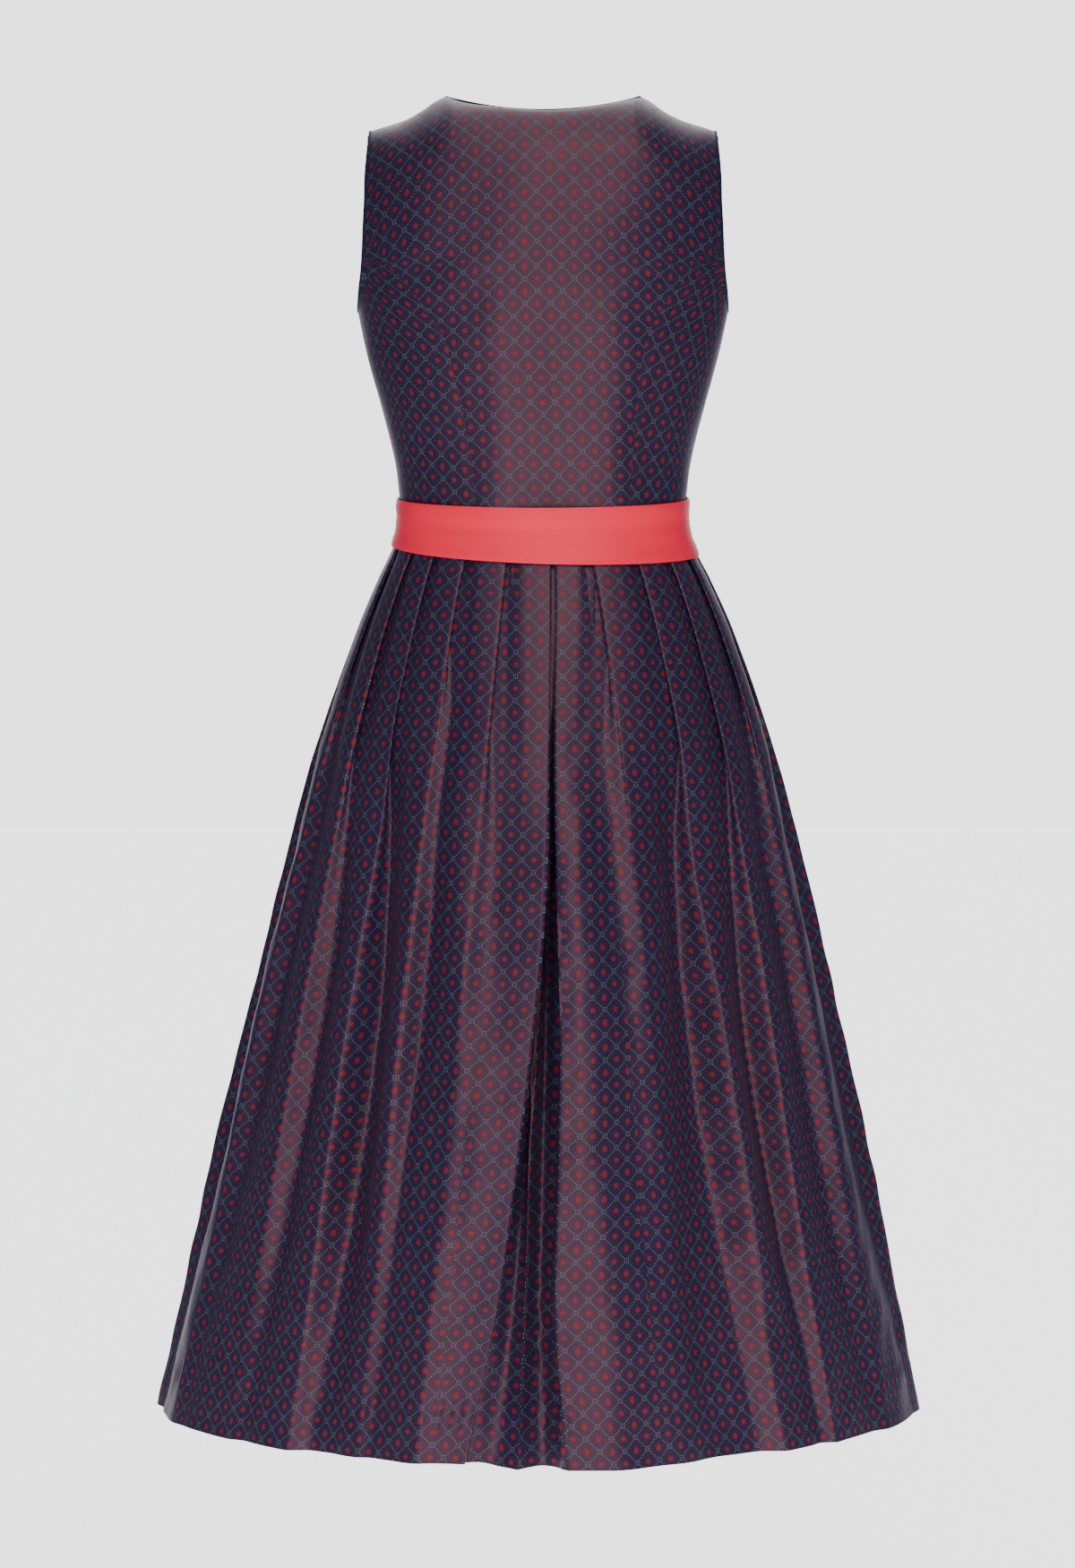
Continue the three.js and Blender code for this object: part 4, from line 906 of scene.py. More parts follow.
# %% Sizes of the skirt
HEM_Z = -1086
HEM_LIFT = 1
HEM_LIFT_LEFT = 4
SKIRT_WALL = 1.0
PLEAT_OVERLAP = 19
LAYER_PITCH = 2.3
MIDDLE_Z = -800
FOLD_GAIN = 1.3  # the cloth falls back a little further than the plain solid under it
INVERTED_DEPTH = 34
INVERTED_DEPTH_HEM = 26
LEFT_PLEATS = table(
    "waist hem opensAt middle lower",
    (13.6, 17.5, -640, 3, 2),
    (30, 29, -520, 8, 4),
    (44.5, 42.5, -760, 17, 8),
    (59, 56.5, -700, 12, 4),
    (75, 74, -600, 9, 3),
    (92, 92, -640, 12, 6),
    (108.5, 109, -600, 12, 7),
    (125, 126, -640, 13, 6),
    (141.5, 142, -600, 11, 6),
    (158, 158, -620, 12, 7),
)
RIGHT_PLEATS = table(
    "waist hem opensAt middle lower",
    (18, 24, -540, 2.5, 2),
    (36, 42, -720, 17, 9),
    (53, 53, -760, 17, 8),
    (70.5, 68, -640, 11, 4),
    (88, 87, -600, 9, 3),
    (105, 105, -640, 12, 7),
    (121.5, 122, -600, 12, 6),
    (138, 139, -640, 11, 7),
    (154.5, 155, -620, 12, 6),
)
OPEN_PLEAT = table(
    "t along down",
    (-2, -0.15, 0.66),
    (-1, -0.06, 0.18),
    (0, 0, 0),
    (1, 0.08, 0.03),
    (2, 0.24, 0.22),
    (3, 0.44, 0.55),
    (4, 0.62, 0.86),
    (5, 0.75, 1),
    (6, 0.85, 0.66),
    (7, 0.94, 0.18),
    (8, 1, 0),
    (9, 1.08, 0.03),
)
INVERTED_PLEAT = table(
    "z left right seam underLeft underSeam underRight",
    (-350, -6.4, -9.6, -8, 3.4, 3.4, 3.4),
    (-440, -4.8, -8.9, -7, 6, 7, 6),
    (-540, -3, -8.4, -5, 11, 15, 11),
    (-660, 0.8, -9.8, 1, 15, 24, 17),
    (-760, 9.5, -13.5, 6, 16, 25, 20),
    (-860, 21, -13.5, 9.5, 15, 19, 21),
    (-960, 34, -12, 12, 13, 11, 16),
    (-1086, 58, -23, 16, 10, 4, 6),
)


# %% [markdown]
# ### One pleat
# A pressed pleat is three layers that lie on each other, an open one is a wave. Both are noted as the same
# points, so that mixing the two lists gives every stage between them.

# %% One pleat
FINER = 5  # points to each step of a pleat
PLEAT_POINTS = 8 * FINER


def arcs_of(section):
    angles = np.linspace(0, np.pi, 721)
    x, y = section_point(section, angles)
    return angles, np.concatenate([[0], np.cumsum(np.hypot(np.diff(x), np.diff(y)))])


def pleat_points(edge, following, overlap, opened, depth):
    q = LAYER_PITCH
    turn, inner = q / 2, following + overlap
    pressed = np.array(
        [
            (edge, q / 2),
            (edge + turn, 0),
            (edge + max(overlap + 3, (following - edge) * 0.66), q * 0.2),
            (following - 1.5, 2 * q),
            (inner - turn, 2 * q),
            (inner, 1.5 * q),
            (inner - turn, q),
            (following + turn, q),
            (following, q / 2),
        ]
    )
    t = np.arange(PLEAT_POINTS) / FINER
    along, down = read(OPEN_PLEAT, "along", t, "t"), read(OPEN_PLEAT, "down", t, "t")
    flat = np.stack([np.interp(t, range(9), pressed[:, 0]), np.interp(t, range(9), pressed[:, 1])], 1)
    loose = np.stack([mix(edge, following, along), down * depth], 1)
    return mix(flat, loose, opened)


def fold_depth(pleat, z):
    upper = smooth((z - WAIST_Z) / (MIDDLE_Z - WAIST_Z))
    lower = smooth((z - MIDDLE_Z) / (HEM_Z - MIDDLE_Z))
    middle, low = pleat["middle"] * FOLD_GAIN, pleat["lower"] * FOLD_GAIN
    return mix(2 * LAYER_PITCH, middle, upper) if z > MIDDLE_Z else mix(middle, low, lower)


# %% One half of the line
def half_line(pleats, first_edge, angles, arcs, z):
    fall = (z - WAIST_Z) / (HEM_Z - WAIST_Z)
    edges = [np.interp(math.radians(mix(p["waist"], p["hem"], fall)), angles, arcs) for p in pleats]
    line = []
    for i, pleat in enumerate(pleats):
        opening = smooth((z - WAIST_Z) / (pleat["opensAt"] - WAIST_Z))
        overlap = PLEAT_OVERLAP * (1 - 0.5 * opening)
        edge = first_edge if i == 0 else edges[i - 1]
        line.append(pleat_points(edge, edges[i], overlap, opening, fold_depth(pleat, z)))
    last = edges[-1]
    lowering = LAYER_PITCH / 2 * (1 - smooth(fall * 3))
    end = np.array([(last, lowering), (last + LAYER_PITCH / 2, 0)])
    rest = np.stack([mix(last, arcs[-1], np.linspace(0.05, 0.97, 20)), np.zeros(20)], 1)
    return np.concatenate(line + [end, rest])


# %% [markdown]
# ### The inverted pleat
# Behind the two edges at the centre back lies the underlay. At the waist it is folded flat, and towards the
# hem its right side swings open. The centre back seam runs down its middle.

# %% Underlay of the inverted pleat
def underlay(z):
    get = {column: float(read(INVERTED_PLEAT, column, z)) for column in INVERTED_PLEAT[0]}
    fall = (z - WAIST_Z) / (HEM_Z - WAIST_Z)
    q = LAYER_PITCH
    reach = mix(INVERTED_DEPTH, INVERTED_DEPTH_HEM, fall)
    left, right, seam = get["left"], get["right"], get["seam"]
    deep_left, deep_seam, deep_right = get["underLeft"], get["underSeam"], get["underRight"]
    open_right = smooth((fall - 0.72) / 0.28)
    inner_right = mix(right - reach, right + 3, open_right)
    back_right = mix(right - reach + q / 2, right + 8, open_right)
    returned_left, returned_right = max(q, deep_left * 0.55), max(q, deep_right * 0.55)
    right_side = [
        (mix(right - q / 2, right - 3, open_right), mix(q, 2, open_right)),
        (back_right - mix(0, 4, open_right), mix(returned_right, deep_right * 0.5, open_right)),
        (inner_right, (returned_right + deep_right) / 2),
        (back_right, deep_right),
        (mix(right, seam, 0.55), mix(deep_right, deep_seam, 0.6)),
        (seam - 2, deep_seam),
        (seam, deep_seam),
    ]
    left_side = [
        (seam, deep_seam),
        (seam + 2, deep_seam),
        (mix(seam, left + reach, 0.5), mix(deep_seam, deep_left, 0.5)),
        (left + reach - q / 2, deep_left),
        (left + reach, (returned_left + deep_left) / 2),
        (left + reach - q / 2, returned_left),
        (left + q / 2, q),
    ]
    return right_side, left_side


# %% The whole line at one height
SEAM_POINTS = 3 * FINER  # the side seams run three steps behind a fold's edge
SEAM_PLEAT_LEFT, SEAM_PLEAT_RIGHT = 5, 4  # pleats between the underlay and the side seams
LEFT_UNDER_STEPS = [3, 8, 8, 4, 4, 10, 3]
RIGHT_UNDER_STEPS = [3, 6, 4, 4, 8, 8, 3]


def divided(points, steps):
    points = np.array(points, float)
    pairs = zip(points[:-1], points[1:], steps)
    parts = [start + (end - start) * np.arange(n)[:, None] / n for start, end, n in pairs]
    return np.concatenate(parts + [points[-1:]])


def skirt_line(z):
    """The line as arc and depth, from the centre back seam round by the wearer's left, and its seams."""
    section = section_at(SKIRT, z)
    angles, arcs = arcs_of(section)
    left = half_line(LEFT_PLEATS, float(read(INVERTED_PLEAT, "left", z)), angles, arcs, z)
    right = half_line(RIGHT_PLEATS, -float(read(INVERTED_PLEAT, "right", z)), angles, arcs, z)
    right_side, left_side = underlay(z)
    start = divided(left_side + [tuple(left[0])], LEFT_UNDER_STEPS)[:-1]
    round_length = 2 * arcs[-1]
    mirrored = right[::-1] * [-1, 1] + [round_length, 0]
    joint = tuple(mirrored[-1] - [round_length, 0])
    behind = divided([joint] + right_side, RIGHT_UNDER_STEPS)[1:] + [round_length, 0]
    line = np.concatenate([start, left, [[arcs[-1], 0]], mirrored, behind])
    left_seam = len(start) + SEAM_PLEAT_LEFT * PLEAT_POINTS + SEAM_POINTS
    front_seam = len(start) + len(left)
    right_seam = len(line) - len(behind) - 1 - SEAM_PLEAT_RIGHT * PLEAT_POINTS - SEAM_POINTS
    return section, angles, arcs, line, (left_seam, front_seam, right_seam)


def softened(line, passes):
    for _ in range(passes):
        middle = (line[:-2] + 2 * line[1:-1] + line[2:]) / 4
        line = np.concatenate([line[:1], middle, line[-1:]])
    return line


def cloth_across(line):
    steps = np.hypot(*np.diff(line, axis=0).T)
    return np.concatenate([[0], np.cumsum(steps)])


print("line at the hem:", len(skirt_line(HEM_Z)[3]), "points")

# %% [markdown]
# ### The weave on the pleats
# A woven column runs from waist to hem without getting narrower, although a pleat shows less of its cloth at
# the waist than at the hem. So the weave of each pleat is laid from both of its fold edges at its true size.
# The two halves meet at the bottom of the fold, where the break between them is hidden.

# %% Where the weave runs and breaks
FOLD_BOTTOM = 5 * FINER
UNDERLAY_TURN = 23  # points from the centre back seam to where the underlay turns behind an edge


def woven_columns(line, hem_line, stretches):
    """Cloth lengths at the start and end of each quad along one height's line. In each stretch the weave is
    laid from both ends, where the fold edges are, and breaks at the bottom of the fold between them."""
    own, hem = cloth_across(line), cloth_across(hem_line)
    ends = np.empty((2, len(line) - 1))
    for first, last, bottom in stretches:
        before = hem[first] + own - own[first]
        after = hem[last] + own - own[last]
        ends[0, first:bottom], ends[1, first:bottom] = before[first:bottom], before[first + 1 : bottom + 1]
        ends[0, bottom:last], ends[1, bottom:last] = after[bottom:last], after[bottom + 1 : last + 1]
    return ends


# %% [markdown]
# ### Long ridges of the back
# Besides its pleats, stiff satin keeps a few long ridges and troughs where it was pressed and hung. Each is
# noted by its width and height and by the way that its crest takes from waist to hem.

# %% Ridges and hollows
HOLLOW_RIGHT = 16
HOLLOW_LEFT = 11
BACK_CREASES = [
    (22, 8, [(-480, 76), (-616, 73), (-743, 63), (-782, 60), (-866, 66), (-977, 87), (-1086, 100)]),
    (24, 8, [(-520, -24), (-646, -26), (-748, -35), (-890, -46), (-1001, -55), (-1086, -61)]),
    (26, -10, [(-500, -102), (-564, -113), (-654, -124), (-808, -128), (-1086, -141)]),
    (13, -5, [(-450, 83), (-634, 88), (-786, 109), (-848, 123), (-1086, 150)]),
    (17, -8, [(-480, 124), (-579, 133), (-773, 146), (-911, 160), (-1086, 172)]),
    (15, 5, [(-620, -146), (-769, -149), (-898, -170), (-1013, -212), (-1086, -225)]),
]


def hand_placed(x, angle, z):
    """Sum of the long ridges, counted outward, and troughs that the photograph shows on the back."""
    on_back = np.clip(3 * np.cos(angle), 0, 1)
    total = np.zeros(np.shape(x))
    for width, height, way in BACK_CREASES:
        begun = smooth((way[0][0] - z) / 110)
        total += height * begun * bump(x - float(read(table("z x", *way), "x", z)), width)
    return total * on_back


def hollow(arc, z):
    """How far the underlay falls back between the two edges, with slanting wrinkles right of its seam."""
    left, right, seam = (float(read(INVERTED_PLEAT, side, z)) for side in ("left", "right", "seam"))
    free = smooth((-480 - z) / 200)
    to_right = np.sin(np.pi * np.clip((arc - right) / (seam - right), 0, 1))
    to_left = np.sin(np.pi * np.clip((arc - seam) / (left - seam), 0, 1))
    wrinkle = 1.6 * np.sin(2 * np.pi * (arc - 0.8 * z) / 24) * bump(z + 960, 70)
    return free * (to_right * (HOLLOW_RIGHT + wrinkle) + to_left * HOLLOW_LEFT)


# %% [markdown]
# ### The skirt's rings
# One ring of points is made for each height, rounded more towards the hem, where nothing presses the cloth.
# All rings have the same number of points, so together they are the grid that the four panels are cut from.

# %% Rings of the skirt
SKIRT_ROWS, UPPER_ROWS = 150, 50
UPPER_Z = -560  # above this the rows lie closer


def ring(z):
    section, angles, arcs, line, seams = skirt_line(z)
    fall = (z - WAIST_Z) / (HEM_Z - WAIST_Z)
    soft = softened(line, 3)
    soft = mix(line, soft, 0.25 + 0.75 * smooth(fall * 2.5))
    wrapped = np.where(soft[:, 0] > arcs[-1], soft[:, 0] - 2 * arcs[-1], soft[:, 0])
    angle = np.sign(wrapped) * np.interp(np.abs(wrapped), arcs, angles)
    x, y = section_point(section, angle)
    nx, ny = section_normal(section, angle)
    beside_edge = smooth((wrapped - 30) / 25) * (1 - smooth((wrapped - 80) / 110))
    lift = (HEM_LIFT * np.sin(angle) ** 2 + HEM_LIFT_LEFT * beside_edge) * fall * fall
    depth = soft[:, 1] + hollow(wrapped, z) - hand_placed(x, angle, z)
    place = np.stack([x - nx * depth, y - ny * depth, z + lift], 1)
    return place, soft, seams


upper_heights = np.linspace(WAIST_Z, UPPER_Z, UPPER_ROWS)[:-1]
heights = np.concatenate([upper_heights, np.linspace(UPPER_Z, HEM_Z, SKIRT_ROWS - UPPER_ROWS + 1)])[::-1]
rings = [ring(z) for z in heights]
left_seam, front_seam, right_seam = rings[0][2]
places = np.stack([r[0] for r in rings])
lines = np.stack([r[1] for r in rings])
last_point = lines.shape[1] - 1

# %% Weave of the whole skirt
start_left = left_seam - SEAM_PLEAT_LEFT * PLEAT_POINTS - SEAM_POINTS
end_right = right_seam + SEAM_PLEAT_RIGHT * PLEAT_POINTS + SEAM_POINTS
end_left = start_left + len(LEFT_PLEATS) * PLEAT_POINTS
start_right = end_right - len(RIGHT_PLEATS) * PLEAT_POINTS
stretches = [(0, start_left, UNDERLAY_TURN)]
for first in range(start_left, end_left, PLEAT_POINTS):
    stretches.append((first, first + PLEAT_POINTS, first + FOLD_BOTTOM))
stretches.append((end_left, start_right, front_seam))
for first in range(start_right, end_right, PLEAT_POINTS):
    stretches.append((first, first + PLEAT_POINTS, first + PLEAT_POINTS - FOLD_BOTTOM))
stretches.append((end_right, last_point, last_point - UNDERLAY_TURN))
woven = np.stack([woven_columns(line, lines[0], stretches) for line in lines])
hem_across = cloth_across(lines[0])
section_back = np.array([float(read(SKIRT, "back", z)) for z in heights])
slant = np.concatenate([[0], np.cumsum(np.hypot(np.diff(heights), np.diff(section_back)))])
print("skirt: hem", round(hem_across[-1]), "mm of cloth, length", round(slant[-1]), "mm")

# %% [markdown]
# ### Soft irregularities
# Stiff satin never hangs in perfect cones. Long shallow dents run down the skirt, and the stitching of the
# hem, 40 mm up, sinks in and draws the cloth beside it into tiny puckers.

# %% Skirt panels
HEM_ALLOWANCE = 40


def skirt_panel(name, first, last, node):
    grid = places[:, first : last + 1]
    u = hem_across[None, first : last + 1]
    v = np.repeat(slant[:, None], grid.shape[1], 1)
    fall = ((heights - WAIST_Z) / (HEM_Z - WAIST_Z))[:, None]
    dents = 1.1 * ripples(u * 2.0, v * 0.45, 11, 120) * smooth(fall * 3)
    dents = dents + 0.35 * ripples(u, v, 12, 34) * smooth(fall * 2)
    line_distance = v - HEM_ALLOWANCE
    stitched = -0.9 * bump(line_distance, 2.0)
    pucker = 0.35 * np.sin(2 * np.pi * (u / 8.5 + 0.35 * ripples(u, v * 0, 5, 60))) * bump(line_distance, 9)
    normal = outward(grid)
    grid = grid + normal * (SKIRT_WALL / 2 + dents + stitched + pucker)[..., None]
    near = np.stack([woven[:, 0, first:last], v[:, :-1]], 2)
    far = np.stack([woven[:, 1, first:last], v[:, 1:]], 2)
    piece = cloth(name, grid, near, far, 0.7)
    dress(piece, jacquard, "jacquard", node)
    return piece


# %% [markdown]
# ## The sash
# A straight band of satin is wrapped round the waist over the seam. It is pulled tight above and eases out
# over the pleats below, with a few drawn lines where the cloth is stretched.

# %% Sash band
SASH_TOP_Z = -326
SASH_BOTTOM_Z = -368
SASH_BACK_DIP_TOP = 5
SASH_BACK_DIP_BOTTOM = 8
SASH_TILT = 4
SASH_WALL = 1.2
SASH_OVER_BODICE = BODICE_WALL / 2 + 0.7 + SASH_WALL / 2
SASH_OVER_SKIRT = SKIRT_WALL / 2 + 1.2 + SASH_WALL / 2


def sash_section(z):
    bodice, skirt = section_at(TORSO, z), section_at(SKIRT, z)
    section = {"pinch": skirt["pinch"], "sway": skirt["sway"]}
    for column in ("half", "back", "front"):
        lap = LAP_LIFT if column == "front" else 0
        over_bodice = bodice[column] + lap + SASH_OVER_BODICE
        section[column] = np.maximum(over_bodice, skirt[column] + SASH_OVER_SKIRT)
    return section


def sash_height(angle, share):
    behind = ((1 + np.cos(angle)) / 2) ** 2
    top = SASH_TOP_Z - SASH_BACK_DIP_TOP * behind
    bottom = SASH_BOTTOM_Z - SASH_BACK_DIP_BOTTOM * behind + SASH_TILT * np.sin(angle)
    return mix(bottom, top, share)


def sash_place(angle, z, out=0.0):
    section = sash_section(z)
    x, y = section_point(section, angle)
    nx, ny = section_normal(section, angle)
    return np.stack([x + nx * out, y + ny * out, z + 0 * x], -1), np.stack([nx, ny, 0 * nx], -1)


# %% Band and skirt panels
SASH_RADIUS = 118  # turns angles to lengths along the band
angle, share = np.meshgrid(np.linspace(-np.pi, np.pi, 260, endpoint=False), np.linspace(0, 1, 22))
band_z = sash_height(angle, share)
arc = angle * SASH_RADIUS
drawn = 0.45 * np.sin(share * 17 + 0.8 * np.sin(angle * 1.5 + 1))
drawn = drawn * smooth(share * 4) * smooth((1 - share) * 5)
drawn += 0.5 * ripples(arc, share * 160, 21, 70)
rolled = -0.8 * bump(share, 0.03) - 0.8 * bump(1 - share, 0.03)
band, _ = sash_place(angle, band_z, SASH_WALL / 2 + drawn * 0.6 + rolled)
looped_arc = np.concatenate([arc, arc[:, :1] + 2 * np.pi * SASH_RADIUS], 1)
looped_height = np.concatenate([band_z, band_z[:, :1]], 1) - SASH_BOTTOM_Z
band_piece = cloth("sash_band", band, *plain_uv(looped_arc, looped_height), SASH_WALL, closed=True)
sash_band = dress(band_piece, coral_satin, "satin", "sash")

skirt_panel("skirt_cloth_left", 0, left_seam, "skirt_back_left")
skirt_panel("skirt_cloth_front_left", left_seam, front_seam, "skirt_front_left")
skirt_panel("skirt_cloth_front_right", front_seam, right_seam, "skirt_front_right")
skirt_panel("skirt_cloth_right", right_seam, last_point, "skirt_back_right")

# %% [markdown]
# ## The apron
# A straight panel of the same satin is gathered on to the band. Its top is drawn into many small gathers
# that merge into a few broad folds lower down. So two waves are laid over each other, and one fades as it
# falls.

# %% Apron
APRON_HEM_Z = -1035
APRON_HALF_ANGLE_WAIST = 58
APRON_HALF_ANGLE_HEM = 56
APRON_WAVES = 11
APRON_WAVE_DEPTH = 9
APRON_WALL = 1.0
APRON_GATHERS = 47
SATIN = 0.8  # thickness of apron and bow as they show


def apron_point(t, fall):
    spread = np.radians(mix(APRON_HALF_ANGLE_WAIST, APRON_HALF_ANGLE_HEM, fall))
    angle = np.pi + (t - 0.5) * 2 * spread
    z = mix(sash_height(angle, 0) - 0.3, APRON_HEM_Z, fall)
    section = section_at(SKIRT, z)
    x, y = section_point(section, angle)
    nx, ny = section_normal(section, angle)
    wave = (1 + np.cos(2 * np.pi * APRON_WAVES * t)) / 2
    gathers = (1 + np.sin(2 * np.pi * (APRON_GATHERS * t + 0.4 * np.sin(9 * t)))) / 2
    out = SKIRT_WALL / 2 + mix(1.4, 3, smooth(fall * 6)) + mix(0.3, APRON_WAVE_DEPTH, fall**0.8) * wave
    out = out + APRON_WALL + 1.3 * gathers * (1 - smooth(fall * 3.2)) * smooth(fall * 40 + 0.3)
    out = out + 0.5 * ripples(t * 700, fall * 500, 31, 110) * smooth(fall * 4)
    return np.stack([x + nx * out, y + ny * out, z], -1)


falls = np.concatenate([np.linspace(1, 0.2, 70), np.linspace(0.19, 0, 36)])
t, fall = np.meshgrid(np.linspace(0, 1, 380), falls)
apron_uv = plain_uv((t - 0.5) * 760, (1 - fall) * 690)
apron_panel = cloth("apron_panel", apron_point(t, fall), *apron_uv, SATIN)
dress(apron_panel, coral_satin, "satin", "apron")

# %% [markdown]
# ## The bow
# The band is tied beside the centre front: a knot, two loops that droop a little and two tails. Each loop is
# a band that goes out and comes back, narrow at the knot where it is squeezed. All of them are placed from
# one seat on the band, by how far they lie across it, out of it and up.

# %% Seat of the bow
KNOT_ANGLE = math.radians(157)
KNOT_SIZE = {"across": 11, "out": 8, "up": 15}
LOOP_LENGTH = 64
TAIL_LENGTH = 310
TAIL_WIDTH = 42
BAND_MIDDLE_Z = (SASH_TOP_Z + SASH_BOTTOM_Z) / 2
seat, seat_normal = sash_place(np.array(KNOT_ANGLE), np.array(BAND_MIDDLE_Z), SASH_WALL / 2 + 0.3)
sideways = np.array([-seat_normal[1], seat_normal[0], 0])
upwards = np.array([0, 0, 1.0])


def bow_place(across, out, up):
    across, out, up = np.broadcast_arrays(across, out, up)
    return seat + across[..., None] * sideways + out[..., None] * seat_normal + up[..., None] * upwards


# %% Knot, loops and tails
def knot_grid():
    turn, rise = np.meshgrid(np.linspace(0, 2 * np.pi, 72, endpoint=False), np.linspace(-0.97, 0.97, 40))
    body = np.sqrt(np.clip(1 - np.abs(rise) ** 2.6, 0, 1))
    folds = 1 + 0.06 * np.sin(turn * 6 + rise * 4) * body
    across = KNOT_SIZE["across"] * np.sin(turn) * body * folds
    out = KNOT_SIZE["out"] + 0.4 + KNOT_SIZE["out"] * np.cos(turn) * body * folds
    return bow_place(across, out, KNOT_SIZE["up"] * rise)


def loop_grid(hand):
    root = KNOT_SIZE["across"] + 0.3 - 1.5
    turn, edge = np.meshgrid(np.linspace(0, 2 * np.pi, 110, endpoint=False), np.linspace(-1, 1, 26))
    reach = (1 - np.cos(turn)) / 2
    across = root + (LOOP_LENGTH - root) * reach
    swell = 9 * np.sin(turn) * (0.35 + 0.65 * reach)
    width = 8 + 13 * np.minimum(1, reach * 1.6)
    pinch = 1.3 * np.cos(edge * 9 + hand) * (1 - smooth(reach * 1.5)) + 0.7 * np.sin(edge * 5) * reach
    out = 11 + reach * 9 + swell + pinch
    return bow_place(hand * across, out, edge * width - reach * 14 - 2 * edge**2)


def tail_grid(hand):
    top = seat[2] - KNOT_SIZE["up"] + 0.3
    fall, share = np.meshgrid(np.linspace(1, 0, 90), np.linspace(0, 1, 40), indexing="ij")
    z = top - TAIL_LENGTH * fall
    width = mix(12, TAIL_WIDTH, smooth(fall * 3))
    along = 1 + 16 * fall + width * share
    section = section_at(SKIRT, z)
    angle = KNOT_ANGLE + hand * along / section["half"]
    apron_fall = np.maximum(0, (z - SASH_BOTTOM_Z) / (APRON_HEM_Z - SASH_BOTTOM_Z))
    fold = 1.5 * np.sin(share * 2 * np.pi + hand) * smooth(fall * 3)
    over = np.maximum(7, 6 + APRON_WAVE_DEPTH * apron_fall**0.8)
    pinch = 0.9 * np.sin(share * 16) * (1 - smooth(fall * 4))
    out = over + mix(5, 2, smooth(fall * 6)) + fold + pinch
    out = out + 0.6 * ripples(along * 1.5, z, 41 + hand, 60) * smooth(fall * 2)
    x, y = section_point(section, angle)
    nx, ny = section_normal(section, angle)
    return np.stack([x + nx * out, y + ny * out, z], -1), plain_uv(share * TAIL_WIDTH, fall * TAIL_LENGTH)


def wrapped_uv(grid, width, length):
    rows, columns = grid.shape[:2]
    return plain_uv(*np.meshgrid(np.linspace(0, length, columns + 1), np.linspace(0, width, rows)))


def satin_loop(name, grid, width, length, node):
    """Closes a grid of rings into a band of satin."""
    centre = tuple(grid.reshape(-1, 3).mean(0)[:2])
    piece = cloth(name, grid, *wrapped_uv(grid, width, length), SATIN, closed=True, about=centre)
    dress(piece, coral_satin, "satin", node)


satin_loop("bow_knot_wrap", knot_grid(), 40, 60, "bow_knot")
for hand, name in ((-1, "side"), (1, "front")):
    loop_name, loop_node = f"bow_ribbon_{name}", f"bow_loop_{name}"
    satin_loop(loop_name, loop_grid(hand), TAIL_WIDTH, 130, loop_node)
    tail_points, tail_uv = tail_grid(hand)
    tail = cloth(f"bow_end_{name}", tail_points, *tail_uv, SATIN)
    dress(tail, coral_satin, "satin", f"bow_tail_{name}")

# %% [markdown]
# ## Floor and surround
# Product photographers put a dress before a pale wall on a pale floor that is lit as brightly as the wall,
# so that no horizon shows. Here the floor is a strip that glows a little of itself, and the world is the
# wall. Satin shows what it mirrors. So the world is bright in a band that runs before, over and behind the
# dress, which brings out the rust on each ridge that faces it, and dim and cool at both flanks, which keeps
# the cloth that turns away navy. What the camera itself sees of the world is pale all round.

# %% Floor
FLOOR_Z = -1.50
FLOOR_GLOW = 1.65
HALF_WIDTH, HALF_LENGTH = 1.5, 9.0
floor_mesh = bpy.data.meshes.new("studio_floor")
corners = [(-1, -1), (1, -1), (1, 1), (-1, 1)]
floor_points = [(a * HALF_WIDTH, b * HALF_LENGTH, FLOOR_Z) for a, b in corners]
floor_mesh.from_pydata(floor_points, [], [(0, 1, 2, 3)])
floor_paint, floor_tree = new_material("matte_white_floor")
floor_noise = add(floor_tree, "TexNoise", None, None, 3.0, 3.0)
floor_shader = add(floor_tree, "BsdfPrincipled", named={
    "Base Color": add(floor_tree, "MixRGB", floor_noise, colour("#f4f4f3"), colour("#fbfbfa")),
    "Roughness": 0.9,
    "Emission Color": (1, 1, 1, 1),
    "Emission Strength": FLOOR_GLOW,
})
add(floor_tree, "OutputMaterial", floor_shader, out=None)
floor_mesh.materials.append(floor_paint)
new_object("studio_floor", floor_mesh)
print("floor:", 2 * HALF_WIDTH, "x", 2 * HALF_LENGTH, "m")

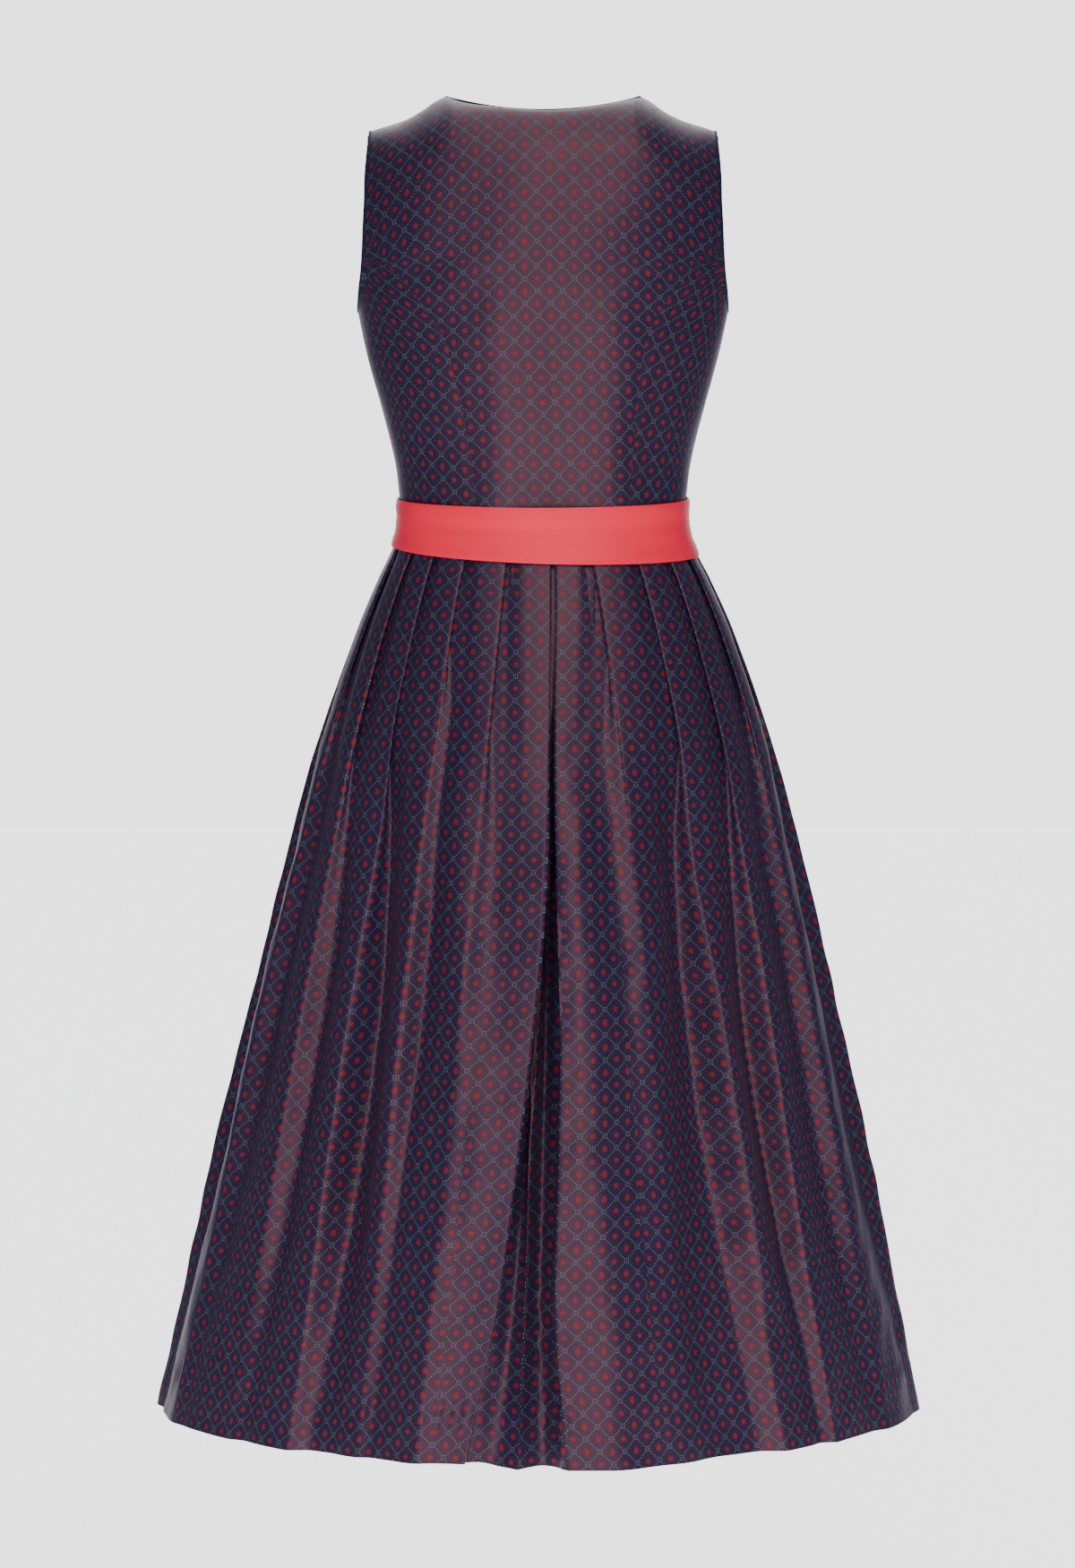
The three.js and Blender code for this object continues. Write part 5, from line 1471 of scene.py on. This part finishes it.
# %% Surround
FLANK_LEVEL, BRIGHT_LEVEL = 0.2, 2.6
BAND_EDGE, FLANK_EDGE = 0.14, 0.56  # where the bright band starts to dim and where it has, 1 at the side
surround = bpy.data.worlds.new("pale_surround")
bpy.context.scene.world = surround
surround.use_nodes = True
sky = surround.node_tree
to_side = add(sky, "Math ABSOLUTE", add(sky, "SeparateXYZ", add(sky, "TexCoord")))
flank = add(sky, "MapRange", to_side, BAND_EDGE, FLANK_EDGE, 0.0, 1.0)
flank = add(sky, "Math SUBTRACT", flank, add(sky, "LightPath"), use_clamp=True)
level = add(sky, "MapRange", flank, 0.0, 1.0, BRIGHT_LEVEL, FLANK_LEVEL)
tint = add(sky, "MixRGB", flank, colour("#ffffff"), colour("#b4bcdc"))
sky.links.new(level, sky.nodes["Background"].inputs["Strength"])
sky.links.new(tint, sky.nodes["Background"].inputs["Color"])
print("surround:", BRIGHT_LEVEL, "before and behind,", FLANK_LEVEL, "at the flanks")

# %% [markdown]
# ### Key light
# One large softbox stands high behind the camera, a little to its right. It is weak, because the surround
# does most of the lighting, and it gives the folds a direction.

# %% Softbox
SOFTBOX_PLACE, SOFTBOX_AIM = (-1.2, 3.0, 2.6), (0, 0, -0.6)
lamp = bpy.data.lights.new("key_softbox", "AREA")
lamp.shape = "RECTANGLE"
lamp.size, lamp.size_y = 2.2, 2.2
lamp.energy = 25
lamp.color = colour("#fff8f2")[:3]
softbox = new_object("key_softbox", lamp)
softbox.location = SOFTBOX_PLACE
aim = np.array(SOFTBOX_AIM) - np.array(SOFTBOX_PLACE)
softbox.rotation_euler = (
    math.atan2(math.hypot(aim[0], aim[1]), -aim[2]), 0, math.atan2(aim[1], aim[0]) - math.pi / 2
)
print("softbox:", lamp.energy, "W")

# %% [markdown]
# ### Camera
# The photograph was taken from behind, at shoulder height, from about 5 m with a long lens, tilted down a
# little so that the whole dress stands in the frame.

# %% Camera
CAMERA_DISTANCE = 5.0
CAMERA_Z = -0.100
IMAGE = (1200, 1750)
PIXEL_MM = 0.74
CENTRE_X_PX = 606  # where the dress's middle stands in the photograph
CAMERA_TILT = math.radians(-5.30)
SENSOR = 36
PIXELS_PER_SLOPE = 6776  # how many pixels of the photograph a slope of 1 from the lens axis covers
aim_x = (CENTRE_X_PX - IMAGE[0] / 2) * PIXEL_MM * MM
lens = bpy.data.cameras.new("long_lens")
lens.sensor_fit = "VERTICAL"
lens.sensor_height = SENSOR
lens.lens = SENSOR * PIXELS_PER_SLOPE / IMAGE[1]
lens.clip_end = 200
camera = new_object("camera", lens)
camera.location = (aim_x, CAMERA_DISTANCE, CAMERA_Z)
camera.rotation_euler = (math.pi / 2 + CAMERA_TILT, 0, math.pi)
bpy.context.scene.camera = camera
print("lens", round(lens.lens, 1), "mm")
